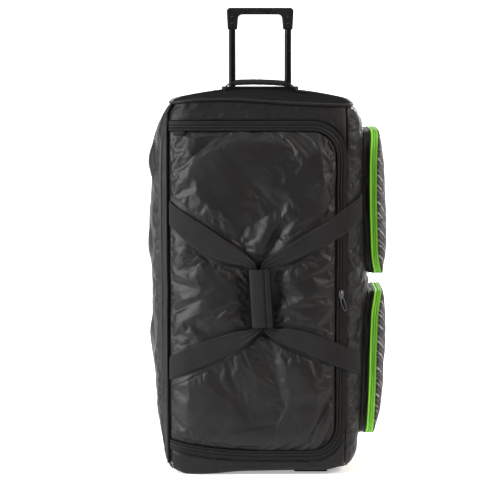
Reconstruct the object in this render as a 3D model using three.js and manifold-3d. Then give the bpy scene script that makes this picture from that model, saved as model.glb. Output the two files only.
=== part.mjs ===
// A large sports trolley bag that stands on its end. It has a cloth shell with a zipped lid, two
// pockets on one side, webbing handles, a telescopic handle and two wheels. Sizes are in
// millimetres, Z is up, the lid faces -Y and the origin is on the ground under the middle.

import * as THREE from 'three';
import * as BufferGeometryUtils from 'three/addons/utils/BufferGeometryUtils.js';
import Module from 'manifold-3d';

const wasm = await Module();
wasm.setup();

// Shell
const bagHeight = 777;
const bagHalfWidth = 230;
const frontDepth = 190;
const backDepth = 180;
const backPower = 7;
const clothWall = 2;
const seamGap = 0.3;
const topWall = 3;
const topRise = 13;
const hemDrop = 22;
const baseClearance = 20;
const baseWall = 3;
const pipingRadius = 3;
const stripTurn = 0.09;
const frontSeam = 188;
const seamShare = 0.955;
const backSeamTurn = 2.2;
const frontCornerTurn = 0.83;
const backCornerTurn = 2.33;
const baseInset = 6;

// Lid and its zip, on the front face
const lidRight = 154.5;
const lidTop = 714;
const lidBottom = 54;
const lidCorner = 50;
const lidSag = 21;
const lidPuff = 9;
const lidPuffRim = 42;
const zipWidth = 21;
const zipWall = 2.4;
const sliderHeight = 380;
const sliderSize = 13;
const sliderWall = 5;
const pullRadius = 0.9;
const pullLength = 32;
const pullWidth = 9;

// Carry straps and the wrap that joins them
const webbingWidth = 50;
const webbingWall = 2.2;
const strapLift = 3.6;
const gripHeight = 375;
const gripLength = 119;
const gripWidth = 42;
const gripThickness = 25;
const gripWall = 2.5;
const gripLean = 3.5;
const gripRoom = 1.2;

// Grab handle on the top panel
const grabSpan = 158;
const grabRise = 14;
const grabY = 100;
const grabWebbing = 32;
const grabWrapLength = 112;
const grabWrapRadius = 6.5;
const grabWrapWall = 1.6;

// Pockets on the right gusset
const pocketWallDepth = 14;
const pocketZipDepth = 15.5;
const pocketDome = 13;
const pocketWidth = 226;
const pocketCorner = 52;
const pocketCloth = 2;
const pocketY = -8;

// Telescopic handle
const tubeSpacing = 122;
const tubeRadius = 7.6;
const tubeInset = 30;
const tubeClearance = 0.4;
const tubeHidden = 230;
const guideWall = 1.6;
const guideClearance = 0.6;
const gripTop = 967;
const gripSpan = 146;
const gripBar = 15;
const housingWidth = 23;
const housingTaper = 2;
const housingDrop = 47;
const housingInnerRound = 9;
const housingOuterRound = 8;
const handleDepth = 24;
const handleBevel = 3;
const tubeSocket = 26;
const bezelLength = 168;
const bezelWidth = 34;
const bezelHeight = 20;
const bezelStand = 4;
const bracketHeight = 22;

// Wheels, their housings, the hard tray at the back and the front feet
const wheelRadius = 42;
const wheelWidth = 26;
const tyreWall = 11;
const wheelX = 140;
const wheelSide = 6;
const wheelProud = 7;
const axleRadius = 4;
const axleClearance = 0.4;
const housingWall = 3;
const wheelRoom = 6;
const trayHeight = 104;
const trayLift = 7;
const trayWall = 2.6;
const trayTurn = 2.1;
const trayRoom = 2;
const footLength = 70;
const footDepth = 26;
const footX = 105;
const footInset = 46;

// How the shell changes with height. Widths and depths are shares of the half width and the front
// depth, and power says how square the section is.
const profileRows = [
  { height: 0.0, left: 0.815, right: 0.79, front: 0.895, power: 9 },
  { height: 0.02, left: 0.845, right: 0.815, front: 0.91, power: 8.5 },
  { height: 0.045, left: 0.868, right: 0.85, front: 0.928, power: 8 },
  { height: 0.08, left: 0.888, right: 0.885, front: 0.945, power: 7 },
  { height: 0.13, left: 0.917, right: 0.913, front: 0.96, power: 6 },
  { height: 0.23, left: 0.952, right: 0.94, front: 0.975, power: 5 },
  { height: 0.355, left: 0.98, right: 0.96, front: 0.99, power: 4.4 },
  { height: 0.465, left: 0.984, right: 0.978, front: 1.0, power: 4.2 },
  { height: 0.55, left: 0.992, right: 0.975, front: 1.0, power: 4.2 },
  { height: 0.62, left: 1.0, right: 0.965, front: 0.998, power: 4.2 },
  { height: 0.71, left: 0.996, right: 0.95, front: 0.99, power: 4.4 },
  { height: 0.8, left: 0.984, right: 0.94, front: 0.975, power: 4.8 },
  { height: 0.87, left: 0.957, right: 0.936, front: 0.955, power: 5.4 },
  { height: 0.925, left: 0.92, right: 0.92, front: 0.93, power: 6.4 },
  { height: 0.965, left: 0.857, right: 0.865, front: 0.9, power: 7.6 },
  { height: 1.0, left: 0.79, right: 0.785, front: 0.865, power: 9 },
];

// The front top edge, as shares of the rise of the top, and the bottom hem, as shares of its drop
const edgeRows = [
  { across: -1.0, top: -0.5, hem: 0.85 },
  { across: -0.78, top: -0.45, hem: 0.42 },
  { across: -0.7, top: -0.25, hem: 0.09 },
  { across: -0.56, top: 0.0, hem: 0.03 },
  { across: -0.4, top: 0.05, hem: 0.12 },
  { across: -0.2, top: 0.0, hem: 0.34 },
  { across: 0.05, top: -0.3, hem: 0.42 },
  { across: 0.3, top: -0.6, hem: 0.48 },
  { across: 0.6, top: -0.8, hem: 0.52 },
  { across: 0.72, top: -0.85, hem: 0.8 },
  { across: 1.0, top: -0.85, hem: 0.9 },
];

// Folds and dents. Place, length and width are shares of the bag's height, turn is the angle of
// the fold's length from upright in degrees, and rise is a share of the fold height.
const foldHeight = 10;
const frontFolds = [
  { across: 0.005, up: 0.478, length: 0.1, width: 0.062, turn: 6, rise: -1.15 },
  { across: 0.035, up: 0.41, length: 0.035, width: 0.03, turn: 40, rise: -0.5 },
  { across: 0.0, up: 0.63, length: 0.05, width: 0.02, turn: 24, rise: 0.75 },
  { across: 0.035, up: 0.64, length: 0.045, width: 0.016, turn: 38, rise: -0.6 },
  { across: 0.07, up: 0.62, length: 0.05, width: 0.02, turn: 48, rise: 0.65 },
  { across: -0.045, up: 0.64, length: 0.05, width: 0.018, turn: -12, rise: -0.55 },
  { across: -0.13, up: 0.7, length: 0.08, width: 0.03, turn: -38, rise: 0.4 },
  { across: -0.205, up: 0.43, length: 0.07, width: 0.02, turn: -22, rise: -0.6 },
  { across: -0.175, up: 0.385, length: 0.06, width: 0.018, turn: -40, rise: 0.5 },
  { across: 0.17, up: 0.72, length: 0.05, width: 0.018, turn: 35, rise: -0.5 },
  { across: 0.165, up: 0.79, length: 0.05, width: 0.018, turn: 42, rise: 0.45 },
  { across: -0.12, up: 0.125, length: 0.05, width: 0.02, turn: 50, rise: -0.4 },
  { across: 0.02, up: 0.23, length: 0.11, width: 0.05, turn: 8, rise: -0.35 },
  { across: 0.1, up: 0.29, length: 0.08, width: 0.03, turn: -35, rise: 0.35 },
  { across: -0.08, up: 0.86, length: 0.05, width: 0.03, turn: 60, rise: 0.35 },
];
const leftFolds = [
  { across: -0.13, up: 0.84, length: 0.06, width: 0.02, turn: 30, rise: 0.9 },
  { across: -0.08, up: 0.76, length: 0.07, width: 0.022, turn: 18, rise: -0.8 },
  { across: -0.12, up: 0.62, length: 0.08, width: 0.022, turn: -10, rise: 0.5 },
  { across: -0.1, up: 0.5, length: 0.07, width: 0.02, turn: 14, rise: -0.6 },
  { across: -0.1, up: 0.36, length: 0.06, width: 0.022, turn: -20, rise: 0.6 },
  { across: -0.05, up: 0.24, length: 0.07, width: 0.026, turn: 22, rise: -0.7 },
  { across: 0.06, up: 0.66, length: 0.1, width: 0.03, turn: -20, rise: 0.5 },
  { across: 0.05, up: 0.42, length: 0.1, width: 0.028, turn: 24, rise: -0.8 },
  { across: 0.07, up: 0.24, length: 0.05, width: 0.028, turn: -30, rise: 0.5 },
];
const rightFolds = [
  { across: -0.2, up: 0.84, length: 0.05, width: 0.018, turn: -25, rise: 0.8 },
  { across: -0.2, up: 0.74, length: 0.05, width: 0.018, turn: 20, rise: -0.6 },
  { across: -0.2, up: 0.46, length: 0.06, width: 0.02, turn: -15, rise: 0.7 },
  { across: -0.19, up: 0.38, length: 0.05, width: 0.018, turn: 15, rise: -0.6 },
  { across: 0.18, up: 0.62, length: 0.1, width: 0.022, turn: 12, rise: 0.7 },
  { across: 0.19, up: 0.3, length: 0.09, width: 0.022, turn: -14, rise: -0.7 },
];

// Routes of the carry straps over the lid, from the upper end to the lower one. Across is a share
// of the half width, up of the height, width of the webbing and lift of the grip's thickness.
const leftStrapRows = [
  { across: -0.8, up: 0.704, width: 1.0, lift: 0 },
  { across: -0.63, up: 0.664, width: 1.0, lift: 0 },
  { across: -0.443, up: 0.626, width: 0.96, lift: 0 },
  { across: -0.25, up: 0.596, width: 0.72, lift: 0.05 },
  { across: -0.125, up: 0.58, width: 0.4, lift: 0.2 },
  { across: -0.066, up: 0.563, width: 0.24, lift: 0.32 },
  { across: -0.056, up: 0.51, width: 0.24, lift: 0.32 },
  { across: -0.046, up: 0.46, width: 0.24, lift: 0.32 },
  { across: -0.03, up: 0.405, width: 0.24, lift: 0.32 },
  { across: -0.1, up: 0.386, width: 0.4, lift: 0.2 },
  { across: -0.22, up: 0.37, width: 0.72, lift: 0.05 },
  { across: -0.443, up: 0.342, width: 0.92, lift: 0 },
  { across: -0.63, up: 0.316, width: 0.96, lift: 0 },
  { across: -0.8, up: 0.29, width: 0.96, lift: 0 },
];
const rightStrapRows = [
  { across: 0.888, up: 0.718, width: 1.0, lift: 0 },
  { across: 0.77, up: 0.69, width: 0.92, lift: 0 },
  { across: 0.638, up: 0.662, width: 0.84, lift: 0 },
  { across: 0.43, up: 0.629, width: 0.78, lift: 0 },
  { across: 0.23, up: 0.597, width: 0.66, lift: 0.05 },
  { across: 0.1, up: 0.58, width: 0.4, lift: 0.2 },
  { across: 0.028, up: 0.563, width: 0.24, lift: 0.32 },
  { across: 0.036, up: 0.51, width: 0.24, lift: 0.32 },
  { across: 0.046, up: 0.46, width: 0.24, lift: 0.32 },
  { across: 0.056, up: 0.405, width: 0.24, lift: 0.32 },
  { across: 0.125, up: 0.388, width: 0.4, lift: 0.2 },
  { across: 0.25, up: 0.379, width: 0.7, lift: 0.05 },
  { across: 0.43, up: 0.362, width: 0.84, lift: 0 },
  { across: 0.62, up: 0.335, width: 0.9, lift: 0 },
  { across: 0.77, up: 0.314, width: 0.9, lift: 0 },
  { across: 0.878, up: 0.3, width: 0.92, lift: 0 },
];

// Each pocket's lowest and highest point, as shares of the bag's height
const pocketRows = [
  { name: 'upper_pocket', low: 0.528, high: 0.918 },
  { name: 'lower_pocket', low: 0.09, high: 0.483 },
];

const left = -1;
const right = 1;
const fullTurn = 2 * Math.PI;

function mix(from, to, share) {
  return from + (to - from) * share;
}

function clamp(value) {
  return Math.min(Math.max(value, 0), 1);
}

function smooth(value) {
  const share = clamp(value);
  return share * share * (3 - 2 * share);
}

// Puts more rows near both ends
function crowdEnds(share) {
  return mix(share, 0.5 - 0.5 * Math.cos(Math.PI * share), 0.5);
}

// Walks through a row of turns, with more steps near each of them
function alongTurns(turns, share) {
  const spans = turns.length - 1;
  const span = Math.min(Math.floor(share * spans + 1e-9), spans - 1);
  return mix(turns[span], turns[span + 1], crowdEnds(share * spans - span));
}

function slopeAt(rows, key, column, index) {
  const before = rows[Math.max(index - 1, 0)];
  const after = rows[Math.min(index + 1, rows.length - 1)];
  return (after[column] - before[column]) / (after[key] - before[key]);
}

// Reads a column of a table at any place along its key column, on a smooth curve
function follow(rows, key, column, place) {
  const last = rows.length - 1;
  const spot = Math.min(Math.max(place, rows[0][key]), rows[last][key]);
  let index = 0;
  while (index < last - 1 && spot > rows[index + 1][key]) {
    index += 1;
  }
  const from = rows[index];
  const to = rows[index + 1];
  const span = to[key] - from[key];
  const share = (spot - from[key]) / span;
  const start = slopeAt(rows, key, column, index) * span;
  const end = slopeAt(rows, key, column, index + 1) * span;
  const level = mix(from[column], to[column], share * share * (3 - 2 * share));
  return level + start * share * (1 - share) ** 2 - end * share * share * (1 - share);
}

// The shell: one outline for each height, with folds standing on it
function sectionAt(z) {
  const height = z / bagHeight;
  return {
    left: bagHalfWidth * follow(profileRows, 'height', 'left', height),
    right: bagHalfWidth * follow(profileRows, 'height', 'right', height),
    front: frontDepth * follow(profileRows, 'height', 'front', height),
    power: follow(profileRows, 'height', 'power', height),
  };
}

// A bearing of 0 looks to the front, a quarter turn to the right side, half a turn to the back
function outlineAt(bearing, z) {
  const section = sectionAt(z);
  const across = Math.sin(bearing);
  const ahead = Math.cos(bearing);
  const width = across < 0 ? section.left : section.right;
  const depth = ahead > 0 ? section.front : backDepth;
  const power = ahead > 0 ? section.power : backPower;
  const wide = Math.abs(across) / width;
  const deep = Math.abs(ahead) / depth;
  const reach = (wide ** power + deep ** power) ** (-1 / power);
  const normal = new THREE.Vector2(
    (Math.sign(across) * (wide * reach) ** (power - 1)) / width,
    (-Math.sign(ahead) * (deep * reach) ** (power - 1)) / depth,
  ).normalize();
  return { x: reach * across, y: -reach * ahead, normal };
}

function halfWidthAt(side, z) {
  const section = sectionAt(z);
  return side < 0 ? section.left : section.right;
}

function frontBearing(x, z) {
  const section = sectionAt(z);
  const half = x < 0 ? section.left : section.right;
  const share = Math.min(Math.abs(x) / half, 0.985);
  const y = -section.front * (1 - share ** section.power) ** (1 / section.power);
  return Math.atan2(Math.sign(x) * share * half, -y);
}

function sideBearing(side, y, z) {
  const section = sectionAt(z);
  const depth = y < 0 ? section.front : backDepth;
  const power = y < 0 ? section.power : backPower;
  const share = Math.min(Math.abs(y) / depth, 0.985);
  const x = side * halfWidthAt(side, z) * (1 - share ** power) ** (1 / power);
  return Math.atan2(x, -Math.sign(y) * share * depth);
}

function seamX(side, z) {
  const inner = side < 0 ? frontSeam : lidRight + zipWidth + 2 * seamGap;
  return side * Math.min(inner, seamShare * halfWidthAt(side, z));
}

function foldRise(rows, across, up) {
  let rise = 0;
  for (const fold of rows) {
    const turn = THREE.MathUtils.degToRad(fold.turn);
    const aside = across / bagHeight - fold.across;
    const above = up / bagHeight - fold.up;
    const along = above * Math.cos(turn) + aside * Math.sin(turn);
    const over = aside * Math.cos(turn) - above * Math.sin(turn);
    rise += fold.rise * Math.exp(-((along / fold.length) ** 2) - (over / fold.width) ** 2);
  }
  return rise * foldHeight;
}

// The lid's outline, grown by a distance: straight sides, two round corners and a sagging hem
const cornerX = lidRight - lidCorner;

function contourTop(x, grown) {
  const beyond = Math.max(x - cornerX, 0);
  return lidTop - lidCorner + Math.sqrt(Math.max((lidCorner + grown) ** 2 - beyond ** 2, 0));
}

function contourBottom(x, grown) {
  const beyond = Math.max(x - cornerX, 0);
  const hem = lidBottom + lidSag * clamp(-x / frontSeam) ** 2;
  return hem + lidCorner - Math.sqrt(Math.max((lidCorner + grown) ** 2 - beyond ** 2, 0));
}

function contourRight(z, grown) {
  const beyond = Math.max(z - (lidTop - lidCorner), lidBottom + lidCorner - z, 0);
  return cornerX + Math.sqrt(Math.max((lidCorner + grown) ** 2 - beyond ** 2, 0));
}

function lidPuffAt(x, z) {
  const rims = [
    x - seamX(left, z),
    contourRight(z, 0) - x,
    contourTop(x, 0) - z,
    z - contourBottom(x, 0),
  ];
  const product = rims.reduce((all, rim) => all * Math.sin(0.5 * Math.PI * clamp(rim / lidPuffRim)), 1);
  return lidPuff * product;
}

function reliefAt(x, y, z) {
  const ahead = smooth((-y / frontDepth - 0.55) / 0.2);
  const frontRise = ahead > 0 ? foldRise(frontFolds, x, z) + lidPuffAt(x, z) : 0;
  const sideRise = foldRise(x < 0 ? leftFolds : rightFolds, y, z);
  return ahead * frontRise + (1 - ahead) * sideRise;
}

function shellPoint(bearing, z, out) {
  const spot = outlineAt(bearing, z);
  const stand = out + reliefAt(spot.x, spot.y, z);
  return [spot.x + spot.normal.x * stand, spot.y + spot.normal.y * stand, z];
}

function topZ(x, y) {
  const ahead = clamp((backDepth - y) / (backDepth + frontDepth));
  const across = x / bagHalfWidth;
  const edge = follow(edgeRows, 'across', 'top', across);
  const crown = 1 - 2.6 * across ** 2;
  return bagHeight + topRise * mix(crown, edge, ahead);
}

function topEdge(bearing) {
  const spot = outlineAt(bearing, bagHeight);
  return topZ(spot.x, spot.y) - 2 * seamGap;
}

function bottomEdge(bearing) {
  const spot = outlineAt(bearing, 0);
  const ahead = clamp((backDepth - spot.y) / (backDepth + frontDepth));
  const hem = hemDrop * follow(edgeRows, 'across', 'hem', spot.x / bagHalfWidth);
  return mix(trayLift, hem, ahead ** 2) + seamGap;
}

// Finds a point between two upright edges and two level ones, where each depends on the other
function settle(across, up, edges) {
  let z = up * bagHeight;
  let place = mix(edges.from(z), edges.to(z), across);
  for (let pass = 0; pass < 6; pass += 1) {
    z = mix(edges.low(place), edges.high(place), up);
    place = mix(edges.from(z), edges.to(z), across);
  }
  return { place, z };
}

// Meshes
function closedGeometry(points, faces) {
  let volume = 0;
  for (const [first, second, third] of faces) {
    const cross = new THREE.Vector3(...points[second]).cross(new THREE.Vector3(...points[third]));
    volume += new THREE.Vector3(...points[first]).dot(cross);
  }
  const outward = volume < 0 ? faces.map(([first, second, third]) => [first, third, second]) : faces;
  const geometry = new THREE.BufferGeometry();
  geometry.setAttribute('position', new THREE.Float32BufferAttribute(points.flat(), 3));
  geometry.setIndex(outward.flat());
  geometry.computeVertexNormals();
  return geometry;
}

function addQuad(faces, first, second, third, fourth) {
  faces.push([first, second, third], [first, third, fourth]);
}

// A wall between an outer and an inner grid of points, closed round its rims. Layer 0 is the
// outer face. A ring's last column joins its first.
function wallGeometry(columns, rows, ring, pointAt) {
  const points = [];
  for (const layer of [0, 1]) {
    for (let row = 0; row < rows; row += 1) {
      for (let column = 0; column < columns; column += 1) {
        const across = column / (ring ? columns : columns - 1);
        points.push(pointAt(across, row / (rows - 1), layer));
      }
    }
  }
  const at = (layer, row, column) => (layer * rows + row) * columns + (column % columns);
  const faces = [];
  const spans = ring ? columns : columns - 1;
  const top = rows - 1;
  for (let column = 0; column < spans; column += 1) {
    const next = column + 1;
    for (let row = 0; row < top; row += 1) {
      addQuad(faces, at(0, row, column), at(0, row, next), at(0, row + 1, next), at(0, row + 1, column));
      addQuad(faces, at(1, row, column), at(1, row + 1, column), at(1, row + 1, next), at(1, row, next));
    }
    addQuad(faces, at(0, 0, next), at(0, 0, column), at(1, 0, column), at(1, 0, next));
    addQuad(faces, at(0, top, column), at(0, top, next), at(1, top, next), at(1, top, column));
  }
  if (!ring) {
    for (let row = 0; row < top; row += 1) {
      addQuad(faces, at(0, row, 0), at(0, row + 1, 0), at(1, row + 1, 0), at(1, row, 0));
      addQuad(faces, at(0, row + 1, spans), at(0, row, spans), at(1, row, spans), at(1, row + 1, spans));
    }
  }
  return closedGeometry(points, faces);
}

// A solid through a row of rings of points, with flat ends, or joined end to end
function loftGeometry(rings, joined) {
  const sides = rings[0].length;
  const at = (ring, side) => (ring % rings.length) * sides + (side % sides);
  const faces = [];
  const spans = joined ? rings.length : rings.length - 1;
  for (let ring = 0; ring < spans; ring += 1) {
    for (let side = 0; side < sides; side += 1) {
      addQuad(faces, at(ring, side), at(ring, side + 1), at(ring + 1, side + 1), at(ring + 1, side));
    }
  }
  if (!joined) {
    for (let side = 1; side < sides - 1; side += 1) {
      faces.push([at(0, 0), at(0, side + 1), at(0, side)]);
      faces.push([at(spans, 0), at(spans, side), at(spans, side + 1)]);
    }
  }
  return closedGeometry(rings.flat(), faces);
}

// A sheet with a closed rim: a middle point and rings out to the rim, on two layers
function discGeometry(sides, shares, pointAt) {
  const points = [];
  for (const layer of [0, 1]) {
    points.push(pointAt(0, 0, layer));
    for (const share of shares) {
      for (let side = 0; side < sides; side += 1) {
        points.push(pointAt(side / sides, share, layer));
      }
    }
  }
  const size = 1 + shares.length * sides;
  const at = (layer, ring, side) => layer * size + 1 + ring * sides + (side % sides);
  const faces = [];
  const rim = shares.length - 1;
  for (let side = 0; side < sides; side += 1) {
    const next = side + 1;
    faces.push([0, at(0, 0, side), at(0, 0, next)]);
    faces.push([size, at(1, 0, next), at(1, 0, side)]);
    for (let ring = 0; ring < rim; ring += 1) {
      addQuad(faces, at(0, ring, side), at(0, ring + 1, side), at(0, ring + 1, next), at(0, ring, next));
      addQuad(faces, at(1, ring, side), at(1, ring, next), at(1, ring + 1, next), at(1, ring + 1, side));
    }
    addQuad(faces, at(0, rim, side), at(1, rim, side), at(1, rim, next), at(0, rim, next));
  }
  return closedGeometry(points, faces);
}

function solidOf(geometry) {
  const bare = geometry.clone();
  bare.deleteAttribute('normal');
  bare.deleteAttribute('uv');
  const merged = BufferGeometryUtils.mergeVertices(bare, 0.0005);
  return new wasm.Manifold(new wasm.Mesh({
    numProp: 3,
    vertProperties: new Float32Array(merged.attributes.position.array),
    triVerts: new Uint32Array(merged.index.array),
  }));
}

function subtract(geometry, ...cutters) {
  let solid = solidOf(geometry);
  for (const cutter of cutters) {
    solid = solid.subtract(solidOf(cutter));
  }
  const mesh = solid.getMesh();
  const result = new THREE.BufferGeometry();
  result.setAttribute('position', new THREE.Float32BufferAttribute(mesh.vertProperties, 3));
  result.setIndex(Array.from(mesh.triVerts));
  result.computeVertexNormals();
  return result;
}

function piece(name, geometry, material) {
  const mesh = new THREE.Mesh(geometry, material);
  mesh.name = name;
  return mesh;
}

// Finishes
function cloth(color) {
  return new THREE.MeshStandardMaterial({ color, roughness: 0.62, metalness: 0 });
}

function webbing() {
  return new THREE.MeshStandardMaterial({ color: 0x2c2b2e, roughness: 0.85, metalness: 0 });
}

function greenTape() {
  return new THREE.MeshStandardMaterial({ color: 0x6fc81e, roughness: 0.6, metalness: 0 });
}

function hardPlastic() {
  return new THREE.MeshStandardMaterial({ color: 0x17171a, roughness: 0.45, metalness: 0 });
}

function blackTube() {
  return new THREE.MeshStandardMaterial({ color: 0x1b1b1e, roughness: 0.35, metalness: 0.8 });
}

function wheelRubber() {
  return new THREE.MeshStandardMaterial({ color: 0x141415, roughness: 0.8, metalness: 0 });
}

function brightMetal() {
  return new THREE.MeshStandardMaterial({ color: 0x8e9094, roughness: 0.3, metalness: 1 });
}

const blackCloth = 0x1d1b1e;
const darkCloth = 0x131214;

// A part of the front face between two upright and two level edges
function frontPanel(name, columns, rows, edges, color) {
  const geometry = wallGeometry(columns, rows, false, (across, up, layer) => {
    const spot = settle(edges.warp(across), crowdEnds(up), edges);
    return shellPoint(frontBearing(spot.place, spot.z), spot.z, -layer * clothWall);
  });
  return piece(name, geometry, cloth(color));
}

function lidPanel() {
  return frontPanel('lid_panel', 16, 26, {
    from: (z) => seamX(left, z) + seamGap,
    to: (z) => contourRight(z, -seamGap),
    low: (x) => contourBottom(Math.min(x, cornerX), -seamGap),
    high: () => lidTop - seamGap,
    warp: (across) => across,
  }, blackCloth);
}

const borderRoom = zipWidth + 3 * seamGap;

function frontTopBorder() {
  return frontPanel('front_top_border', 15, 3, {
    from: (z) => seamX(left, z) + 3 * seamGap,
    to: (z) => seamX(right, z) - 3 * seamGap,
    low: (x) => contourTop(x, borderRoom),
    high: (x) => topEdge(frontBearing(x, bagHeight)),
    warp: crowdEnds,
  }, darkCloth);
}

function frontBottomBorder() {
  return frontPanel('front_bottom_border', 15, 3, {
    from: (z) => seamX(left, z) + 3 * seamGap,
    to: (z) => seamX(right, z) - 3 * seamGap,
    low: (x) => bottomEdge(frontBearing(x, 0)),
    high: (x) => contourBottom(x, borderRoom),
    warp: crowdEnds,
  }, darkCloth);
}

// The zip's route round the lid, from the top left end to the bottom left end
function zipRoute() {
  const route = [];
  const straights = 9;
  const bends = 6;
  const uprights = 18;
  for (let step = 0; step < straights; step += 1) {
    route.push({ x: mix(1 - frontSeam, cornerX, step / straights), turn: 0 });
  }
  for (let step = 0; step <= bends; step += 1) {
    route.push({ x: cornerX, z: lidTop - lidCorner, turn: (step / bends) * 0.5 * Math.PI });
  }
  for (let step = 1; step < uprights; step += 1) {
    const z = mix(lidTop - lidCorner, lidBottom + lidCorner, step / uprights);
    route.push({ x: cornerX, z, turn: 0.5 * Math.PI });
  }
  for (let step = 0; step <= bends; step += 1) {
    route.push({ x: cornerX, z: lidBottom + lidCorner, turn: (1 + step / bends) * 0.5 * Math.PI });
  }
  for (let step = 1; step <= straights; step += 1) {
    route.push({ x: mix(cornerX, 1 - frontSeam, step / straights), turn: Math.PI });
  }
  return route;
}

function zipPoint(stop, grown) {
  if (stop.z !== undefined) {
    const reach = lidCorner + grown;
    return { x: stop.x + reach * Math.sin(stop.turn), z: stop.z + reach * Math.cos(stop.turn) };
  }
  const z = stop.turn === 0 ? lidTop + grown : contourBottom(stop.x, 0) - grown;
  return { x: stop.x, z };
}

function lidZip() {
  const route = zipRoute();
  const geometry = wallGeometry(2, route.length, false, (across, up, layer) => {
    const stop = route[Math.round(up * (route.length - 1))];
    const spot = zipPoint(stop, mix(seamGap, zipWidth, across));
    return shellPoint(frontBearing(spot.x, spot.z), spot.z, layer ? 0 : zipWall);
  });
  return piece('lid_zip', geometry, cloth(darkCloth));
}

const sliderX = lidRight + 0.5 * zipWidth;

function zipSlider() {
  const bearing = frontBearing(sliderX, sliderHeight);
  const place = shellPoint(bearing, sliderHeight, zipWall + seamGap + 0.5 * sliderWall);
  const normal = outlineAt(bearing, sliderHeight).normal;
  const shape = new THREE.BoxGeometry(0.8 * sliderSize, sliderWall, 1.4 * sliderSize);
  const slider = piece('zip_slider', shape, brightMetal());
  slider.position.set(...place);
  slider.position.addScaledVector(new THREE.Vector3(normal.x, normal.y, 0), 0.4 * seamGap);
  slider.rotation.z = Math.atan2(normal.x, -normal.y);
  return slider;
}

// A closed wire loop that hangs from the slider, a little to the right
function zipPull() {
  const steps = 14;
  const sides = 5;
  const slant = 0.3;
  const top = sliderHeight - 0.7 * sliderSize - 3 * pullRadius;
  const rings = [];
  for (let step = 0; step < steps; step += 1) {
    const turn = (step / steps) * fullTurn;
    const down = 0.5 * pullLength * (1 - Math.cos(turn));
    const aside = 0.5 * pullWidth * Math.sin(turn);
    const ring = [];
    for (let side = 0; side < sides; side += 1) {
      const round = (side / sides) * fullTurn;
      const grow = pullRadius * Math.cos(round);
      const x = sliderX + slant * down + aside + grow * Math.sin(turn);
      const z = top - down + grow * Math.cos(turn);
      const out = zipWall + 3 * seamGap + pullRadius * (1 + Math.sin(round));
      ring.push(shellPoint(frontBearing(x, z), z, out));
    }
    rings.push(ring);
  }
  return piece('zip_pull', loftGeometry(rings, true), brightMetal());
}

// A part of the shell between two bearings, from the hem to the top
function shellPanel(name, columns, rows, edges, color) {
  const geometry = wallGeometry(columns, rows, false, (across, up, layer) => {
    const spot = settle(edges.warp(across), crowdEnds(up), { low: bottomEdge, high: topEdge, ...edges });
    return shellPoint(spot.place, spot.z, -layer * clothWall);
  });
  return piece(name, geometry, cloth(color));
}

const gapTurn = (2 * seamGap) / backDepth;
const rimTurns = [
  -frontCornerTurn,
  frontCornerTurn,
  backCornerTurn,
  fullTurn - backCornerTurn,
  fullTurn - frontCornerTurn,
];

function seamBearing(side, z) {
  return frontBearing(seamX(side, z), z);
}

function leftCornerStrip() {
  return shellPanel('left_corner_strip', 2, 18, {
    from: (z) => seamBearing(left, z) - stripTurn + gapTurn,
    to: (z) => seamBearing(left, z) - 2 * gapTurn,
    warp: (across) => across,
  }, darkCloth);
}

function leftGusset() {
  return shellPanel('left_gusset', 11, 18, {
    from: () => -backSeamTurn,
    to: (z) => seamBearing(left, z) - stripTurn - gapTurn,
    warp: crowdEnds,
  }, blackCloth);
}

function rightGusset() {
  return shellPanel('right_gusset', 11, 18, {
    from: (z) => seamBearing(right, z) + gapTurn,
    to: () => backSeamTurn,
    warp: crowdEnds,
  }, blackCloth);
}

// A cord of piping on the shell, along a row of places with a bearing and a height
function pipingGeometry(stops, joined) {
  const sides = 5;
  const rings = stops.map((stop, index) => {
    const before = stops[joined ? (index + stops.length - 1) % stops.length : Math.max(index - 1, 0)];
    const after = stops[joined ? (index + 1) % stops.length : Math.min(index + 1, stops.length - 1)];
    const start = new THREE.Vector3(...shellPoint(before.bearing, before.z, 0));
    const along = new THREE.Vector3(...shellPoint(after.bearing, after.z, 0)).sub(start).normalize();
    const normal = outlineAt(stop.bearing, stop.z).normal;
    const away = new THREE.Vector3(normal.x, normal.y, 0);
    const aside = new THREE.Vector3().crossVectors(along, away).normalize();
    const middle = new THREE.Vector3(...shellPoint(stop.bearing, stop.z, pipingRadius + 7 * seamGap));
    return Array.from({ length: sides }, (unused, side) => {
      const round = ((side + 0.5) / sides) * fullTurn;
      const point = middle.clone().addScaledVector(away, pipingRadius * Math.cos(round));
      return point.addScaledVector(aside, pipingRadius * Math.sin(round)).toArray();
    });
  });
  return loftGeometry(rings, joined);
}

function leftPiping() {
  const steps = 24;
  const stops = Array.from({ length: steps + 1 }, (unused, step) => {
    const z = mix(hemDrop, bagHeight - 3 * pipingRadius, crowdEnds(step / steps));
    return { z, bearing: seamBearing(left, z) - pipingRadius / frontDepth };
  });
  return piece('left_piping', pipingGeometry(stops, false), cloth(darkCloth));
}

function topPiping() {
  const steps = 36;
  const stops = Array.from({ length: steps }, (unused, step) => {
    const bearing = alongTurns(rimTurns, step / steps);
    return { bearing, z: topEdge(bearing) + seamGap };
  });
  return piece('top_piping', pipingGeometry(stops, true), cloth(darkCloth));
}

const tubeY = backDepth - tubeInset;

function topPanel() {
  const sheet = discGeometry(36, [0.45, 0.8, 1], (turn, share, layer) => {
    const rim = outlineAt(alongTurns(rimTurns, turn), bagHeight);
    const x = share * rim.x;
    const y = share * rim.y;
    return [x, y, topZ(x, y) + (layer === 0 ? topWall : 0)];
  });
  const slot = new THREE.BoxGeometry(bezelLength + 2 * seamGap, bezelWidth + 2 * seamGap, 8 * bezelHeight);
  slot.translate(0, tubeY, bagHeight);
  return piece('top_panel', subtract(sheet, slot), cloth(blackCloth));
}

// The housing round a wheel, seen from the side, as a shape to extrude across the bag
const wheelY = backDepth + wheelProud - wheelRadius;

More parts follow.
